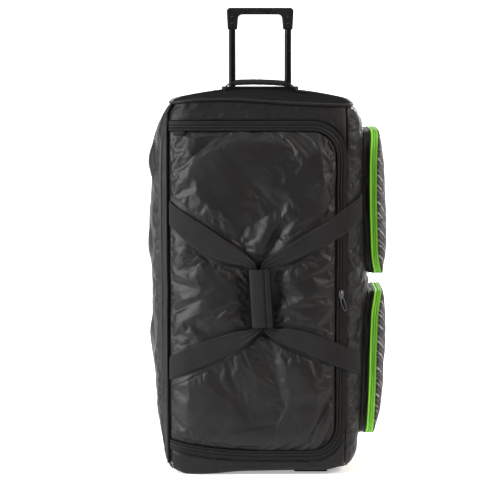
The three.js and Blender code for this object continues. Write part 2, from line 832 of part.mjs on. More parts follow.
function housingBlock(side, grown, wide, low, back) {
  const reach = wheelRadius + wheelRoom + grown;
  const shape = new THREE.Shape();
  shape.moveTo(wheelY - reach, low);
  shape.lineTo(back, low);
  shape.lineTo(back, wheelRadius + reach);
  shape.lineTo(wheelY, wheelRadius + reach);
  shape.absarc(wheelY, wheelRadius, reach, 0.5 * Math.PI, Math.PI, false);
  shape.closePath();
  const block = new THREE.ExtrudeGeometry(shape, { depth: wide, bevelEnabled: false, curveSegments: 8 });
  const turn = new THREE.Matrix4().makeBasis(
    new THREE.Vector3(0, 1, 0),
    new THREE.Vector3(0, 0, 1),
    new THREE.Vector3(1, 0, 0),
  );
  block.applyMatrix4(turn);
  block.translate(side * wheelX - 0.5 * wide, 0, 0);
  return block;
}

const housingRoom = wheelWidth + 2 * wheelSide;
const housingBack = backDepth + trayRoom + trayWall;
const beyond = 40;

function housingSolid(side, gap) {
  const wide = housingRoom + 2 * housingWall + 2 * gap;
  const low = gap > 0 ? -beyond : trayLift;
  const back = gap > 0 ? housingBack + beyond : housingBack;
  return housingBlock(side, housingWall + gap, wide, low, back);
}

function wheelHousing(name, side) {
  const cavity = housingBlock(side, 0, housingRoom, -beyond, housingBack + beyond);
  return piece(name, subtract(housingSolid(side, 0), cavity), hardPlastic());
}

function backPanel() {
  const turns = [backSeamTurn, backCornerTurn, fullTurn - backCornerTurn, fullTurn - backSeamTurn];
  const panel = shellPanel('back_panel', 13, 9, {
    from: () => backSeamTurn + gapTurn,
    to: () => fullTurn - backSeamTurn - gapTurn,
    warp: (across) => (alongTurns(turns, across) - turns[0]) / (turns[3] - turns[0]),
  }, blackCloth);
  panel.geometry = subtract(panel.geometry, housingSolid(left, seamGap), housingSolid(right, seamGap));
  return panel;
}

function basePanel() {
  const sheet = discGeometry(28, [1], (turn, share, layer) => {
    const rim = outlineAt(alongTurns(rimTurns, turn), baseClearance);
    const x = share * (rim.x - baseInset * rim.normal.x);
    const y = share * (rim.y - baseInset * rim.normal.y);
    return [x, y, baseClearance + (layer === 0 ? baseWall : 0)];
  });
  const cut = subtract(sheet, housingSolid(left, seamGap), housingSolid(right, seamGap));
  return piece('base_panel', cut, hardPlastic());
}

function backTray() {
  const turns = [trayTurn, backCornerTurn, fullTurn - backCornerTurn, fullTurn - trayTurn];
  const wall = wallGeometry(22, 3, false, (across, up, layer) => {
    const bearing = alongTurns(turns, across);
    const ends = smooth(6 * Math.min(across, 1 - across));
    const high = mix(0.55, 1, ends) * trayHeight;
    const z = mix(trayLift, high, up);
    return shellPoint(bearing, z, trayRoom + (layer === 0 ? trayWall : 0));
  });
  const cut = subtract(wall, housingSolid(left, seamGap), housingSolid(right, seamGap));
  return piece('back_tray', cut, hardPlastic());
}

function roundedPlate(length, width, corner, height) {
  const shape = new THREE.Shape();
  const x = 0.5 * length - corner;
  const y = 0.5 * width - corner;
  shape.absarc(x, y, corner, 0, 0.5 * Math.PI, false);
  shape.absarc(-x, y, corner, 0.5 * Math.PI, Math.PI, false);
  shape.absarc(-x, -y, corner, Math.PI, 1.5 * Math.PI, false);
  shape.absarc(x, -y, corner, 1.5 * Math.PI, fullTurn, false);
  shape.closePath();
  return { shape, settings: { depth: height, bevelEnabled: false, curveSegments: 2 } };
}

function frontFoot(name, side) {
  const plate = roundedPlate(footLength, footDepth, 0.25 * footDepth, baseClearance - seamGap);
  const foot = piece(name, new THREE.ExtrudeGeometry(plate.shape, plate.settings), hardPlastic());
  foot.position.set(side * footX, footInset - frontDepth * profileRows[0].front, 0);
  return foot;
}

// Straps
function routePoint(rows, share) {
  const stops = rows.map((row, index) => ({ ...row, index: index / (rows.length - 1) }));
  const read = (column) => follow(stops, 'index', column, share);
  return {
    x: bagHalfWidth * read('across'),
    z: bagHeight * read('up'),
    width: webbingWidth * read('width'),
    lift: gripThickness * read('lift'),
  };
}

// The webbing's ends are cut upright, along the seams that hold them
function carryStrap(name, rows) {
  const steps = 2 * rows.length;
  const geometry = wallGeometry(3, steps + 1, false, (across, up, layer) => {
    const step = 0.5 / steps;
    const spot = routePoint(rows, up);
    const before = routePoint(rows, clamp(up - step));
    const after = routePoint(rows, clamp(up + step));
    const along = new THREE.Vector2(after.x - before.x, after.z - before.z).normalize();
    const upright = smooth(1 - Math.min(up, 1 - up) / 0.14);
    const cross = new THREE.Vector2(mix(along.y, 0, upright), mix(-along.x, -Math.sign(along.x), upright));
    const aside = (across - 0.5) * spot.width;
    const x = spot.x + cross.x * aside;
    const z = spot.z + cross.y * aside;
    const out = strapLift + spot.lift + (layer === 0 ? webbingWall : 0);
    return shellPoint(frontBearing(x, z), z, out);
  });
  return piece(name, geometry, webbing());
}

// A sleeve round both straps, a squashed ring with open ends
function gripWrap() {
  const geometry = wallGeometry(14, 6, true, (across, up, layer) => {
    const round = across * fullTurn;
    const inset = layer * gripWall;
    const share = up - 0.5;
    const z = gripHeight + share * gripLength;
    const squash = (value) => Math.sign(value) * Math.abs(value) ** 0.75;
    const x = -gripLean * 2 * share + (0.5 * gripWidth - inset) * squash(Math.cos(round));
    const half = 0.5 * gripThickness;
    const out = gripRoom + half + (half - inset) * squash(Math.sin(round));
    return shellPoint(frontBearing(x, z), z, out);
  });
  return piece('grip_wrap', geometry, webbing());
}

// The grab handle's side view: flat feet, legs and a rolled middle. Across is a share of half its
// span, rise of its height over the top, width of its webbing and thick of the wrap's radius.
const grabRows = [
  { across: -1.3, rise: 0, width: 1, thick: 0.37 },
  { across: -1.14, rise: 0, width: 1, thick: 0.37 },
  { across: -1.02, rise: 0.1, width: 0.98, thick: 0.37 },
  { across: -0.96, rise: 0.42, width: 0.8, thick: 0.4 },
  { across: -0.88, rise: 0.76, width: 0.5, thick: 0.5 },
  { across: -0.74, rise: 0.94, width: 0.24, thick: 0.6 },
  { across: -0.4, rise: 1, width: 0.22, thick: 0.6 },
  { across: 0, rise: 1, width: 0.22, thick: 0.6 },
  { across: 0.4, rise: 0.99, width: 0.22, thick: 0.6 },
  { across: 0.74, rise: 0.92, width: 0.24, thick: 0.6 },
  { across: 0.88, rise: 0.72, width: 0.5, thick: 0.5 },
  { across: 0.96, rise: 0.4, width: 0.8, thick: 0.4 },
  { across: 1.02, rise: 0.1, width: 0.98, thick: 0.37 },
  { across: 1.14, rise: 0, width: 1, thick: 0.37 },
  { across: 1.3, rise: 0, width: 1, thick: 0.37 },
];

function grabPoint(row) {
  const x = 0.5 * grabSpan * row.across;
  const floor = topZ(x, grabY) + topWall + 3 * seamGap;
  const thick = grabWrapRadius * row.thick;
  return { x, z: floor + 0.5 * thick + row.rise * grabRise, width: grabWebbing * row.width, thick };
}

function grabHandle() {
  const spots = grabRows.map(grabPoint);
  const rings = spots.map((spot, index) => {
    const before = spots[Math.max(index - 1, 0)];
    const after = spots[Math.min(index + 1, spots.length - 1)];
    const along = new THREE.Vector2(after.x - before.x, after.z - before.z).normalize();
    return Array.from({ length: 8 }, (unused, side) => {
      const round = ((side + 0.5) / 8) * fullTurn;
      const out = (0.5 * spot.thick * Math.sin(round)) / Math.sin(0.375 * Math.PI);
      const y = grabY + (0.5 * spot.width * Math.cos(round)) / Math.cos(0.125 * Math.PI);
      return [spot.x - along.y * out, y, spot.z + along.x * out];
    });
  });
  return piece('grab_handle', loftGeometry(rings, false), webbing());
}

function grabWrap() {
  const spots = grabRows.map(grabPoint);
  const geometry = wallGeometry(8, 5, true, (across, up, layer) => {
    const round = across * fullTurn;
    const x = (up - 0.5) * grabWrapLength;
    const radius = grabWrapRadius - layer * grabWrapWall;
    return [x, grabY + radius * Math.cos(round), follow(spots, 'x', 'z', x) + radius * Math.sin(round)];
  });
  return piece('grab_wrap', geometry, webbing());
}

// Pockets on the right gusset. Each is a low wall, a zip band and a domed face, stacked outward.
const pocketLift = 0.9;

// Stops round a pocket's rim: round corners, and straight sides between them
function pocketStops(row) {
  const wide = 0.5 * pocketWidth - pocketCorner;
  const tall = 0.5 * (row.high - row.low) * bagHeight - pocketCorner;
  const middleZ = 0.5 * (row.low + row.high) * bagHeight;
  const corners = [[1, 1], [-1, 1], [-1, -1], [1, -1]].map(([across, up]) => ({
    y: pocketY + across * wide,
    z: middleZ + up * tall,
  }));
  const bends = 4;
  const stops = [];
  corners.forEach((corner, index) => {
    const next = corners[(index + 1) % corners.length];
    const straights = index % 2 === 0 ? 3 : 4;
    for (let step = 0; step <= bends; step += 1) {
      stops.push({ ...corner, turn: 0.25 * fullTurn * (index + step / bends) });
    }
    for (let step = 1; step < straights; step += 1) {
      const share = step / straights;
      const turn = 0.25 * fullTurn * (index + 1);
      stops.push({ y: mix(corner.y, next.y, share), z: mix(corner.z, next.z, share), turn });
    }
  });
  return stops;
}

function pocketRim(stops, share, inset) {
  const stop = stops[Math.round(share * stops.length) % stops.length];
  const reach = pocketCorner - inset;
  return { y: stop.y + reach * Math.cos(stop.turn), z: stop.z + reach * Math.sin(stop.turn) };
}

function pocketRing(row, name, from, to, material) {
  const stops = pocketStops(row);
  const geometry = wallGeometry(stops.length, 2, true, (across, up, layer) => {
    const rim = pocketRim(stops, across, layer * pocketCloth);
    return shellPoint(sideBearing(right, rim.y, rim.z), rim.z, mix(from, to, up));
  });
  return piece(name, geometry, material);
}

function pocketFace(row, name, out) {
  const stops = pocketStops(row);
  const middleZ = 0.5 * (row.low + row.high) * bagHeight;
  const geometry = discGeometry(stops.length, [0.5, 0.84, 1], (turn, share, layer) => {
    const rim = pocketRim(stops, turn, 0);
    const y = mix(pocketY, rim.y, share);
    const z = mix(middleZ, rim.z, share);
    const dome = pocketDome * (1 - share ** 2.6);
    return shellPoint(sideBearing(right, y, z), z, out + dome + (layer === 0 ? pocketCloth : 0));
  });
  return piece(name, geometry, cloth(0x39373b));
}

function pocket(row) {
  const wallTop = pocketLift + pocketWallDepth;
  const zipTop = wallTop + seamGap + pocketZipDepth;
  const group = new THREE.Group();
  group.add(
    pocketRing(row, `${row.name}_wall`, pocketLift, wallTop, cloth(darkCloth)),
    pocketRing(row, `${row.name}_zip`, wallTop + seamGap, zipTop, greenTape()),
    pocketFace(row, `${row.name}_face`, zipTop + seamGap),
  );
  return group;
}

// Telescopic handle: fixed guide tubes in the back, and a grip on two tubes that slide in them
const housingLow = gripTop - housingDrop;
const bezelTop = topZ(0, tubeY) + topWall + bezelStand;
const bezelLow = bezelTop - bezelHeight;
const bracketLow = baseClearance + baseWall + seamGap;
const guideLow = bracketLow + bracketHeight + seamGap;

function tubeBezel() {
  const plate = roundedPlate(bezelLength, bezelWidth, 0.3 * bezelWidth, bezelHeight);
  for (const side of [left, right]) {
    const around = Array.from({ length: 16 }, (unused, step) => {
      const turn = (-step / 16) * fullTurn;
      const reach = tubeRadius + tubeClearance;
      return new THREE.Vector2(side * 0.5 * tubeSpacing + reach * Math.cos(turn), reach * Math.sin(turn));
    });
    plate.shape.holes.push(new THREE.Path(around));
  }
  const bezel = piece('tube_bezel', new THREE.ExtrudeGeometry(plate.shape, plate.settings), hardPlastic());
  bezel.position.set(0, tubeY, bezelLow);
  return bezel;
}

function latheRing(inner, outer, low, high, sides) {
  const profile = [[inner, low], [outer, low], [outer, high], [inner, high], [inner, low]];
  return new THREE.LatheGeometry(profile.map(([x, y]) => new THREE.Vector2(x, y)), sides);
}

function guideTube(name, side) {
  const inner = tubeRadius + guideClearance;
  const tube = latheRing(inner, inner + guideWall, guideLow, bezelLow - seamGap, 16);
  const guide = piece(name, tube.rotateX(0.5 * Math.PI), blackTube());
  guide.position.set(side * 0.5 * tubeSpacing, tubeY, 0);
  return guide;
}

function guideBracket() {
  const length = tubeSpacing + 4 * tubeRadius;
  const plate = roundedPlate(length, bezelWidth, 0.3 * bezelWidth, bracketHeight);
  const block = new THREE.ExtrudeGeometry(plate.shape, plate.settings);
  const bracket = piece('guide_bracket', block, hardPlastic());
  bracket.position.set(0, tubeY, bracketLow);
  return bracket;
}

function trolleyTube(name, side) {
  const top = housingLow + tubeSocket - seamGap;
  const low = bezelTop - tubeHidden;
  const rod = new THREE.CylinderGeometry(tubeRadius, tubeRadius, top - low, 16);
  const tube = piece(name, rod.rotateX(0.5 * Math.PI), blackTube());
  tube.position.set(side * 0.5 * tubeSpacing, tubeY, 0.5 * (top + low));
  return tube;
}

// The grip: a bar with a tapered housing at each end, a socket in each for its tube
function trolleyGrip() {
  const half = 0.5 * gripSpan;
  const inner = half - housingWidth;
  const quarter = 0.5 * Math.PI;
  const outerX = half - housingOuterRound;
  const outerZ = gripTop - housingOuterRound;
  const innerX = inner - housingTaper - housingInnerRound;
  const innerZ = gripTop - gripBar - housingInnerRound;
  const shape = new THREE.Shape();
  shape.moveTo(-half + housingTaper, housingLow);
  shape.lineTo(-half, outerZ);
  shape.absarc(-outerX, outerZ, housingOuterRound, Math.PI, quarter, true);
  shape.absarc(outerX, outerZ, housingOuterRound, quarter, 0, true);
  shape.lineTo(half - housingTaper, housingLow);
  shape.lineTo(inner, housingLow);
  shape.lineTo(inner - housingTaper, innerZ);
  shape.absarc(innerX, innerZ, housingInnerRound, 0, quarter, false);
  shape.absarc(-innerX, innerZ, housingInnerRound, quarter, Math.PI, false);
  shape.lineTo(-inner, housingLow);
  shape.closePath();
  const body = new THREE.ExtrudeGeometry(shape, {
    depth: handleDepth - 2 * handleBevel,
    bevelThickness: handleBevel,
    bevelSize: handleBevel,
    bevelOffset: -handleBevel,
    bevelSegments: 1,
    curveSegments: 4,
  });
  body.rotateX(0.5 * Math.PI).translate(0, tubeY + 0.5 * handleDepth - handleBevel, 0);
  const sockets = [left, right].map((side) => {
    const radius = tubeRadius + seamGap;
    const socket = new THREE.CylinderGeometry(radius, radius, 2 * tubeSocket, 16).rotateX(0.5 * Math.PI);
    return socket.translate(side * 0.5 * tubeSpacing, tubeY, housingLow);
  });
  return piece('trolley_grip', subtract(body, ...sockets), hardPlastic());
}

// Wheels
const wheelSides = 18;

function wheel(side, name) {
  const half = 0.5 * wheelWidth;
  const rimRadius = wheelRadius - tyreWall;
  const tread = 0.3 * tyreWall;
  const tyreProfile = [
    [rimRadius, -half],
    [wheelRadius - tread, -half],
    [wheelRadius, -half + tread],
    [wheelRadius, half - tread],
    [wheelRadius - tread, half],
    [rimRadius, half],
    [rimRadius, -half],
  ];
  const bore = axleRadius + axleClearance;
  const seat = rimRadius - seamGap;
  const web = 0.45 * half;
  const hubProfile = [
    [bore, -half],
    [2.3 * bore, -half],
    [2.5 * bore, -web],
    [0.85 * seat, -web],
    [seat, -half],
    [seat, half],
    [0.85 * seat, web],
    [2.5 * bore, web],
    [2.3 * bore, half],
    [bore, half],
    [bore, -half],
  ];
  const turned = (profile, sides) => {
    const points = profile.map(([x, y]) => new THREE.Vector2(x, y));
    return new THREE.LatheGeometry(points, sides).rotateZ(0.5 * Math.PI);
  };
  const group = new THREE.Group();
  group.add(piece(`${name}_tyre`, turned(tyreProfile, wheelSides), wheelRubber()));
  group.add(piece(`${name}_hub`, turned(hubProfile, wheelSides), hardPlastic()));
  group.position.set(side * wheelX, wheelY, wheelRadius);
  return group;
}

function wheelAxle(name, side) {
  const pin = new THREE.CylinderGeometry(axleRadius, axleRadius, housingRoom - 2 * seamGap, 16);
  const axle = piece(name, pin.rotateZ(0.5 * Math.PI), brightMetal());
  axle.position.set(side * wheelX, wheelY, wheelRadius);
  return axle;
}

function shell() {
  const group = new THREE.Group();
  group.add(lidPanel(), lidZip(), zipSlider(), zipPull());
  group.add(frontTopBorder(), frontBottomBorder(), leftCornerStrip(), leftPiping());
  group.add(leftGusset(), rightGusset(), backPanel(), topPanel(), topPiping(), basePanel());
  return group;
}

function straps() {
  const group = new THREE.Group();
  group.add(carryStrap('left_carry_strap', leftStrapRows), carryStrap('right_carry_strap', rightStrapRows));
  group.add(gripWrap(), grabHandle(), grabWrap());
  return group;
}

function chassis() {
  const group = new THREE.Group();
  group.add(backTray(), tubeBezel(), guideBracket());
  group.add(guideTube('left_guide_tube', left), guideTube('right_guide_tube', right));
  group.add(wheelHousing('left_wheel_housing', left), wheelHousing('right_wheel_housing', right));
  group.add(wheelAxle('left_axle', left), wheelAxle('right_axle', right));
  group.add(frontFoot('left_front_foot', left), frontFoot('right_front_foot', right));
  return group;
}

function trolleyHandle() {
  const group = new THREE.Group();
  group.add(trolleyGrip(), trolleyTube('left_trolley_tube', left), trolleyTube('right_trolley_tube', right));
  return group;
}

const bag = new THREE.Group();
bag.add(shell(), straps(), chassis(), trolleyHandle());
bag.add(...pocketRows.map(pocket));
bag.add(wheel(left, 'left_wheel'), wheel(right, 'right_wheel'));

// The origin goes to the ground under the middle of the whole bag
const extent = new THREE.Box3().setFromObject(bag);
const middle = extent.getCenter(new THREE.Vector3());
bag.position.set(-middle.x, -middle.y, -extent.min.z);

const model = new THREE.Group();
model.add(bag);

export default model;
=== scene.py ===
import math

import bmesh
import bpy
import numpy as np
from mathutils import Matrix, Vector


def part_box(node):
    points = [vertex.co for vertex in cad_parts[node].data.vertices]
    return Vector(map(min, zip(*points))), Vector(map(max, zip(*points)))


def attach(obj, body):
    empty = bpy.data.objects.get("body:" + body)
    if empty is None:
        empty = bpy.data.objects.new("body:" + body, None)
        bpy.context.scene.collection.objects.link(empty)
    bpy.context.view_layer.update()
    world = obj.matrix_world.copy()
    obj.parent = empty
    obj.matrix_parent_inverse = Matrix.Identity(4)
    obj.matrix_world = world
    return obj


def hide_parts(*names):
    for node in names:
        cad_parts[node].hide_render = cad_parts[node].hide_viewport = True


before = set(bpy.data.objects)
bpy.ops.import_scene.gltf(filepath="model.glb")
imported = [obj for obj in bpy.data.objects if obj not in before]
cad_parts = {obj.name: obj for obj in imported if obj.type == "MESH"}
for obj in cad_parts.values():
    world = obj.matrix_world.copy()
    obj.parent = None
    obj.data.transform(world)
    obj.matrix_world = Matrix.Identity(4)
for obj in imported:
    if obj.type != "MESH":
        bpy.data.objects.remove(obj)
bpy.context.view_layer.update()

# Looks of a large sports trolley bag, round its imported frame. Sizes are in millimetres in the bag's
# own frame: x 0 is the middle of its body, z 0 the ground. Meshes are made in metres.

# The same named values as the solids
BAG_HEIGHT = 777
HALF_WIDTH = 230
FRONT_DEPTH = 190
BACK_DEPTH = 180
BACK_POWER = 7
SEAM_GAP = 0.3
TOP_WALL = 3
TOP_RISE = 13
HEM_DROP = 22
STRIP_TURN = 0.09
FRONT_SEAM = 188
SEAM_SHARE = 0.955
BACK_SEAM_TURN = 2.2
FRONT_CORNER_TURN = 0.83
BACK_CORNER_TURN = 2.33
TRAY_LIFT = 7
LID_RIGHT = 154.5
LID_TOP = 714
LID_BOTTOM = 54
LID_CORNER = 50
LID_SAG = 21
LID_PUFF = 9
LID_PUFF_RIM = 42
ZIP_WIDTH = 21
SLIDER_HEIGHT = 380
WEBBING_WIDTH = 50
WEBBING_WALL = 2.2
PIPING_OUT = 2.3
PIPING_RADIUS = 2.9
PANEL_WALL = 1.4
RELIEF_LIMITS = (-4.5, 4.0)
STRAP_LIFT = 3.6
GRIP_HEIGHT = 375
GRIP_LENGTH = 119
GRIP_WIDTH = 42
GRIP_THICKNESS = 25
GRIP_LEAN = 3.5
GRIP_ROOM = 1.2
GRAB_SPAN = 158
GRAB_RISE = 14
GRAB_Y = 100
GRAB_WEBBING = 32
GRAB_WRAP_LENGTH = 112
GRAB_WRAP_RADIUS = 6.5
POCKET_WALL = 14
POCKET_ZIP = 15.5
POCKET_DOME = 13
POCKET_WIDTH = 226
POCKET_CORNER = 52
POCKET_Y = -8
POCKET_LIFT = 0.9
POCKETS = {"upper_pocket": (0.528, 0.918), "lower_pocket": (0.09, 0.483)}
TUBE_SPACING = 122
TUBE_Y = 150
GRIP_TOP = 967
WHEEL_RADIUS = 42
WHEEL_WIDTH = 26
WHEEL_X = 140
WHEEL_Y = 145
FOLD_HEIGHT = 10

# height, left, right, front, power
PROFILE = np.array([
    (0.0, 0.815, 0.79, 0.895, 9), (0.02, 0.845, 0.815, 0.91, 8.5), (0.045, 0.868, 0.85, 0.928, 8),
    (0.08, 0.888, 0.885, 0.945, 7), (0.13, 0.917, 0.913, 0.96, 6), (0.23, 0.952, 0.94, 0.975, 5),
    (0.355, 0.98, 0.96, 0.99, 4.4), (0.465, 0.984, 0.978, 1.0, 4.2), (0.55, 0.992, 0.975, 1.0, 4.2),
    (0.62, 1.0, 0.965, 0.998, 4.2), (0.71, 0.996, 0.95, 0.99, 4.4), (0.8, 0.984, 0.94, 0.975, 4.8),
    (0.87, 0.957, 0.936, 0.955, 5.4), (0.925, 0.92, 0.92, 0.93, 6.4), (0.965, 0.857, 0.865, 0.9, 7.6),
    (1.0, 0.79, 0.785, 0.865, 9),
])
# across, top, hem
EDGES = np.array([
    (-1.0, -0.5, 0.85), (-0.78, -0.45, 0.42), (-0.7, -0.25, 0.09), (-0.56, 0.0, 0.03),
    (-0.4, 0.05, 0.12), (-0.2, 0.0, 0.34), (0.05, -0.3, 0.42), (0.3, -0.6, 0.48), (0.6, -0.8, 0.52),
    (0.72, -0.85, 0.8), (1.0, -0.85, 0.9),
])
# across, up, length, width, turn, rise
FRONT_FOLDS = [
    (0.005, 0.478, 0.1, 0.062, 6, -1.15), (0.035, 0.41, 0.035, 0.03, 40, -0.5),
    (0.0, 0.63, 0.05, 0.02, 24, 0.75), (0.035, 0.64, 0.045, 0.016, 38, -0.6),
    (0.07, 0.62, 0.05, 0.02, 48, 0.65), (-0.045, 0.64, 0.05, 0.018, -12, -0.55),
    (-0.13, 0.7, 0.08, 0.03, -38, 0.4), (-0.205, 0.43, 0.07, 0.02, -22, -0.6),
    (-0.175, 0.385, 0.06, 0.018, -40, 0.5), (0.17, 0.72, 0.05, 0.018, 35, -0.5),
    (0.165, 0.79, 0.05, 0.018, 42, 0.45), (-0.12, 0.125, 0.05, 0.02, 50, -0.4),
    (0.02, 0.23, 0.11, 0.05, 8, -0.35), (0.1, 0.29, 0.08, 0.03, -35, 0.35),
    (-0.08, 0.86, 0.05, 0.03, 60, 0.35),
]
LEFT_FOLDS = [
    (-0.13, 0.84, 0.06, 0.02, 30, 0.9), (-0.08, 0.76, 0.07, 0.022, 18, -0.8),
    (-0.12, 0.62, 0.08, 0.022, -10, 0.5), (-0.1, 0.5, 0.07, 0.02, 14, -0.6),
    (-0.1, 0.36, 0.06, 0.022, -20, 0.6), (-0.05, 0.24, 0.07, 0.026, 22, -0.7),
    (0.06, 0.66, 0.1, 0.03, -20, 0.5), (0.05, 0.42, 0.1, 0.028, 24, -0.8),
    (0.07, 0.24, 0.05, 0.028, -30, 0.5),
]
RIGHT_FOLDS = [
    (-0.2, 0.84, 0.05, 0.018, -25, 0.8), (-0.2, 0.74, 0.05, 0.018, 20, -0.6),
    (-0.2, 0.46, 0.06, 0.02, -15, 0.7), (-0.19, 0.38, 0.05, 0.018, 15, -0.6),
    (0.18, 0.62, 0.1, 0.022, 12, 0.7), (0.19, 0.3, 0.09, 0.022, -14, -0.7),
]
# across, up, width, lift
LEFT_STRAP = np.array([
    (-0.8, 0.704, 1.0, 0), (-0.63, 0.664, 1.0, 0), (-0.443, 0.626, 0.96, 0), (-0.25, 0.596, 0.72, 0.05),
    (-0.125, 0.58, 0.4, 0.2), (-0.066, 0.563, 0.24, 0.32), (-0.056, 0.51, 0.24, 0.32),
    (-0.046, 0.46, 0.24, 0.32), (-0.03, 0.405, 0.24, 0.32), (-0.1, 0.386, 0.4, 0.2),
    (-0.22, 0.37, 0.72, 0.05), (-0.443, 0.342, 0.92, 0), (-0.63, 0.316, 0.96, 0), (-0.8, 0.29, 0.96, 0),
])
RIGHT_STRAP = np.array([
    (0.888, 0.718, 1.0, 0), (0.77, 0.69, 0.92, 0), (0.638, 0.662, 0.84, 0), (0.43, 0.629, 0.78, 0),
    (0.23, 0.597, 0.66, 0.05), (0.1, 0.58, 0.4, 0.2), (0.028, 0.563, 0.24, 0.32), (0.036, 0.51, 0.24, 0.32),
    (0.046, 0.46, 0.24, 0.32), (0.056, 0.405, 0.24, 0.32), (0.125, 0.388, 0.4, 0.2), (0.25, 0.379, 0.7, 0.05),
    (0.43, 0.362, 0.84, 0), (0.62, 0.335, 0.9, 0), (0.77, 0.314, 0.9, 0), (0.878, 0.3, 0.92, 0),
])

grip_low, grip_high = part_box("trolley_grip")
guide_low, guide_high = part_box("left_guide_tube")
OFFSET = np.array([
    500 * (grip_low.x + grip_high.x),
    500 * (guide_low.y + guide_high.y) - TUBE_Y,
    0.0,
])


# Numbers
def mix(start, end, share):
    return start + (end - start) * share


def clamp(value):
    return np.clip(value, 0.0, 1.0)


def smooth(value):
    share = clamp(value)
    return share * share * (3 - 2 * share)


def crowd_ends(share):
    return mix(share, 0.5 - 0.5 * np.cos(np.pi * share), 0.5)


def along_turns(turns, share):
    turns = np.asarray(turns, float)
    spans = len(turns) - 1
    span = np.minimum(np.floor(np.asarray(share) * spans + 1e-9).astype(int), spans - 1)
    return mix(turns[span], turns[span + 1], crowd_ends(share * spans - span))


def follow(table, column, place):
    """Reads a column of a table at any place along its first column, on a smooth curve."""
    keys, values = table[:, 0], table[:, column]
    slopes = np.empty_like(values)
    slopes[1:-1] = (values[2:] - values[:-2]) / (keys[2:] - keys[:-2])
    slopes[0] = (values[1] - values[0]) / (keys[1] - keys[0])
    slopes[-1] = (values[-1] - values[-2]) / (keys[-1] - keys[-2])
    spot = np.clip(place, keys[0], keys[-1])
    index = np.clip(np.searchsorted(keys, spot) - 1, 0, len(keys) - 2)
    span = keys[index + 1] - keys[index]
    share = (spot - keys[index]) / span
    level = mix(values[index], values[index + 1], share * share * (3 - 2 * share))
    level = level + slopes[index] * span * share * (1 - share) ** 2
    return level - slopes[index + 1] * span * share * share * (1 - share)


def by_share(rows):
    """A table with the share of its length, from 0 to 1, as a new first column."""
    return np.column_stack([np.linspace(0, 1, len(rows)), rows])


def noise(u, v, cell, seed):
    """Soft noise from -1 to 1 with one bump to a cell."""
    rng = np.random.default_rng(seed)
    table = rng.uniform(-1, 1, (64, 64))
    u, v = np.asarray(u, float) / cell, np.asarray(v, float) / cell
    column, row = np.floor(u).astype(int), np.floor(v).astype(int)
    share_u, share_v = u - column, v - row
    share_u = share_u ** 3 * (share_u * (share_u * 6 - 15) + 10)
    share_v = share_v ** 3 * (share_v * (share_v * 6 - 15) + 10)
    low = mix(table[row % 64, column % 64], table[row % 64, (column + 1) % 64], share_u)
    high = mix(table[(row + 1) % 64, column % 64], table[(row + 1) % 64, (column + 1) % 64], share_u)
    return mix(low, high, share_v)


# The shell, as in the solids
def section_at(z):
    height = np.asarray(z, float) / BAG_HEIGHT
    return (
        HALF_WIDTH * follow(PROFILE, 1, height),
        HALF_WIDTH * follow(PROFILE, 2, height),
        FRONT_DEPTH * follow(PROFILE, 3, height),
        follow(PROFILE, 4, height),
    )


def outline_at(bearing, z):
    wide_left, wide_right, front, front_power = section_at(z)
    across, ahead = np.sin(bearing), np.cos(bearing)
    width = np.where(across < 0, wide_left, wide_right)
    depth = np.where(ahead > 0, front, BACK_DEPTH)
    power = np.where(ahead > 0, front_power, BACK_POWER)
    wide, deep = np.abs(across) / width, np.abs(ahead) / depth
    reach = (wide ** power + deep ** power) ** (-1 / power)
    normal_x = np.sign(across) * (wide * reach) ** (power - 1) / width
    normal_y = -np.sign(ahead) * (deep * reach) ** (power - 1) / depth
    size = np.hypot(normal_x, normal_y)
    return reach * across, -reach * ahead, normal_x / size, normal_y / size


def front_bearing(x, z):
    wide_left, wide_right, front, power = section_at(z)
    half = np.where(np.asarray(x) < 0, wide_left, wide_right)
    share = np.minimum(np.abs(x) / half, 0.985)
    y = -front * (1 - share ** power) ** (1 / power)
    return np.arctan2(np.sign(x) * share * half, -y)


def side_bearing(side, y, z):
    wide_left, wide_right, front, front_power = section_at(z)
    depth = np.where(np.asarray(y) < 0, front, BACK_DEPTH)
    power = np.where(np.asarray(y) < 0, front_power, BACK_POWER)
    share = np.minimum(np.abs(y) / depth, 0.985)
    half = wide_left if side < 0 else wide_right
    x = side * half * (1 - share ** power) ** (1 / power)
    return np.arctan2(x, -np.sign(y) * share * depth)


def seam_x(side, z):
    wide_left, wide_right, _, _ = section_at(z)
    inner = FRONT_SEAM if side < 0 else LID_RIGHT + ZIP_WIDTH + 2 * SEAM_GAP
    return side * np.minimum(inner, SEAM_SHARE * (wide_left if side < 0 else wide_right))


def seam_bearing(side, z):
    return front_bearing(seam_x(side, z), z)


def fold_rise(rows, across, up):
    rise = 0.0
    for spot, height, length, width, turn, size in rows:
        turn = math.radians(turn)
        aside = across / BAG_HEIGHT - spot
        above = up / BAG_HEIGHT - height
        along = above * math.cos(turn) + aside * math.sin(turn)
        over = aside * math.cos(turn) - above * math.sin(turn)
        rise = rise + size * np.exp(-((along / length) ** 2) - (over / width) ** 2)
    return rise * FOLD_HEIGHT


CORNER_X = LID_RIGHT - LID_CORNER


def contour_top(x, grown):
    beyond = np.maximum(x - CORNER_X, 0)
    return LID_TOP - LID_CORNER + np.sqrt(np.maximum((LID_CORNER + grown) ** 2 - beyond ** 2, 0))


def contour_bottom(x, grown):
    beyond = np.maximum(x - CORNER_X, 0)
    hem = LID_BOTTOM + LID_SAG * clamp(-x / FRONT_SEAM) ** 2
    return hem + LID_CORNER - np.sqrt(np.maximum((LID_CORNER + grown) ** 2 - beyond ** 2, 0))


def contour_right(z, grown):
    beyond = np.maximum(np.maximum(z - (LID_TOP - LID_CORNER), LID_BOTTOM + LID_CORNER - z), 0)
    return CORNER_X + np.sqrt(np.maximum((LID_CORNER + grown) ** 2 - beyond ** 2, 0))


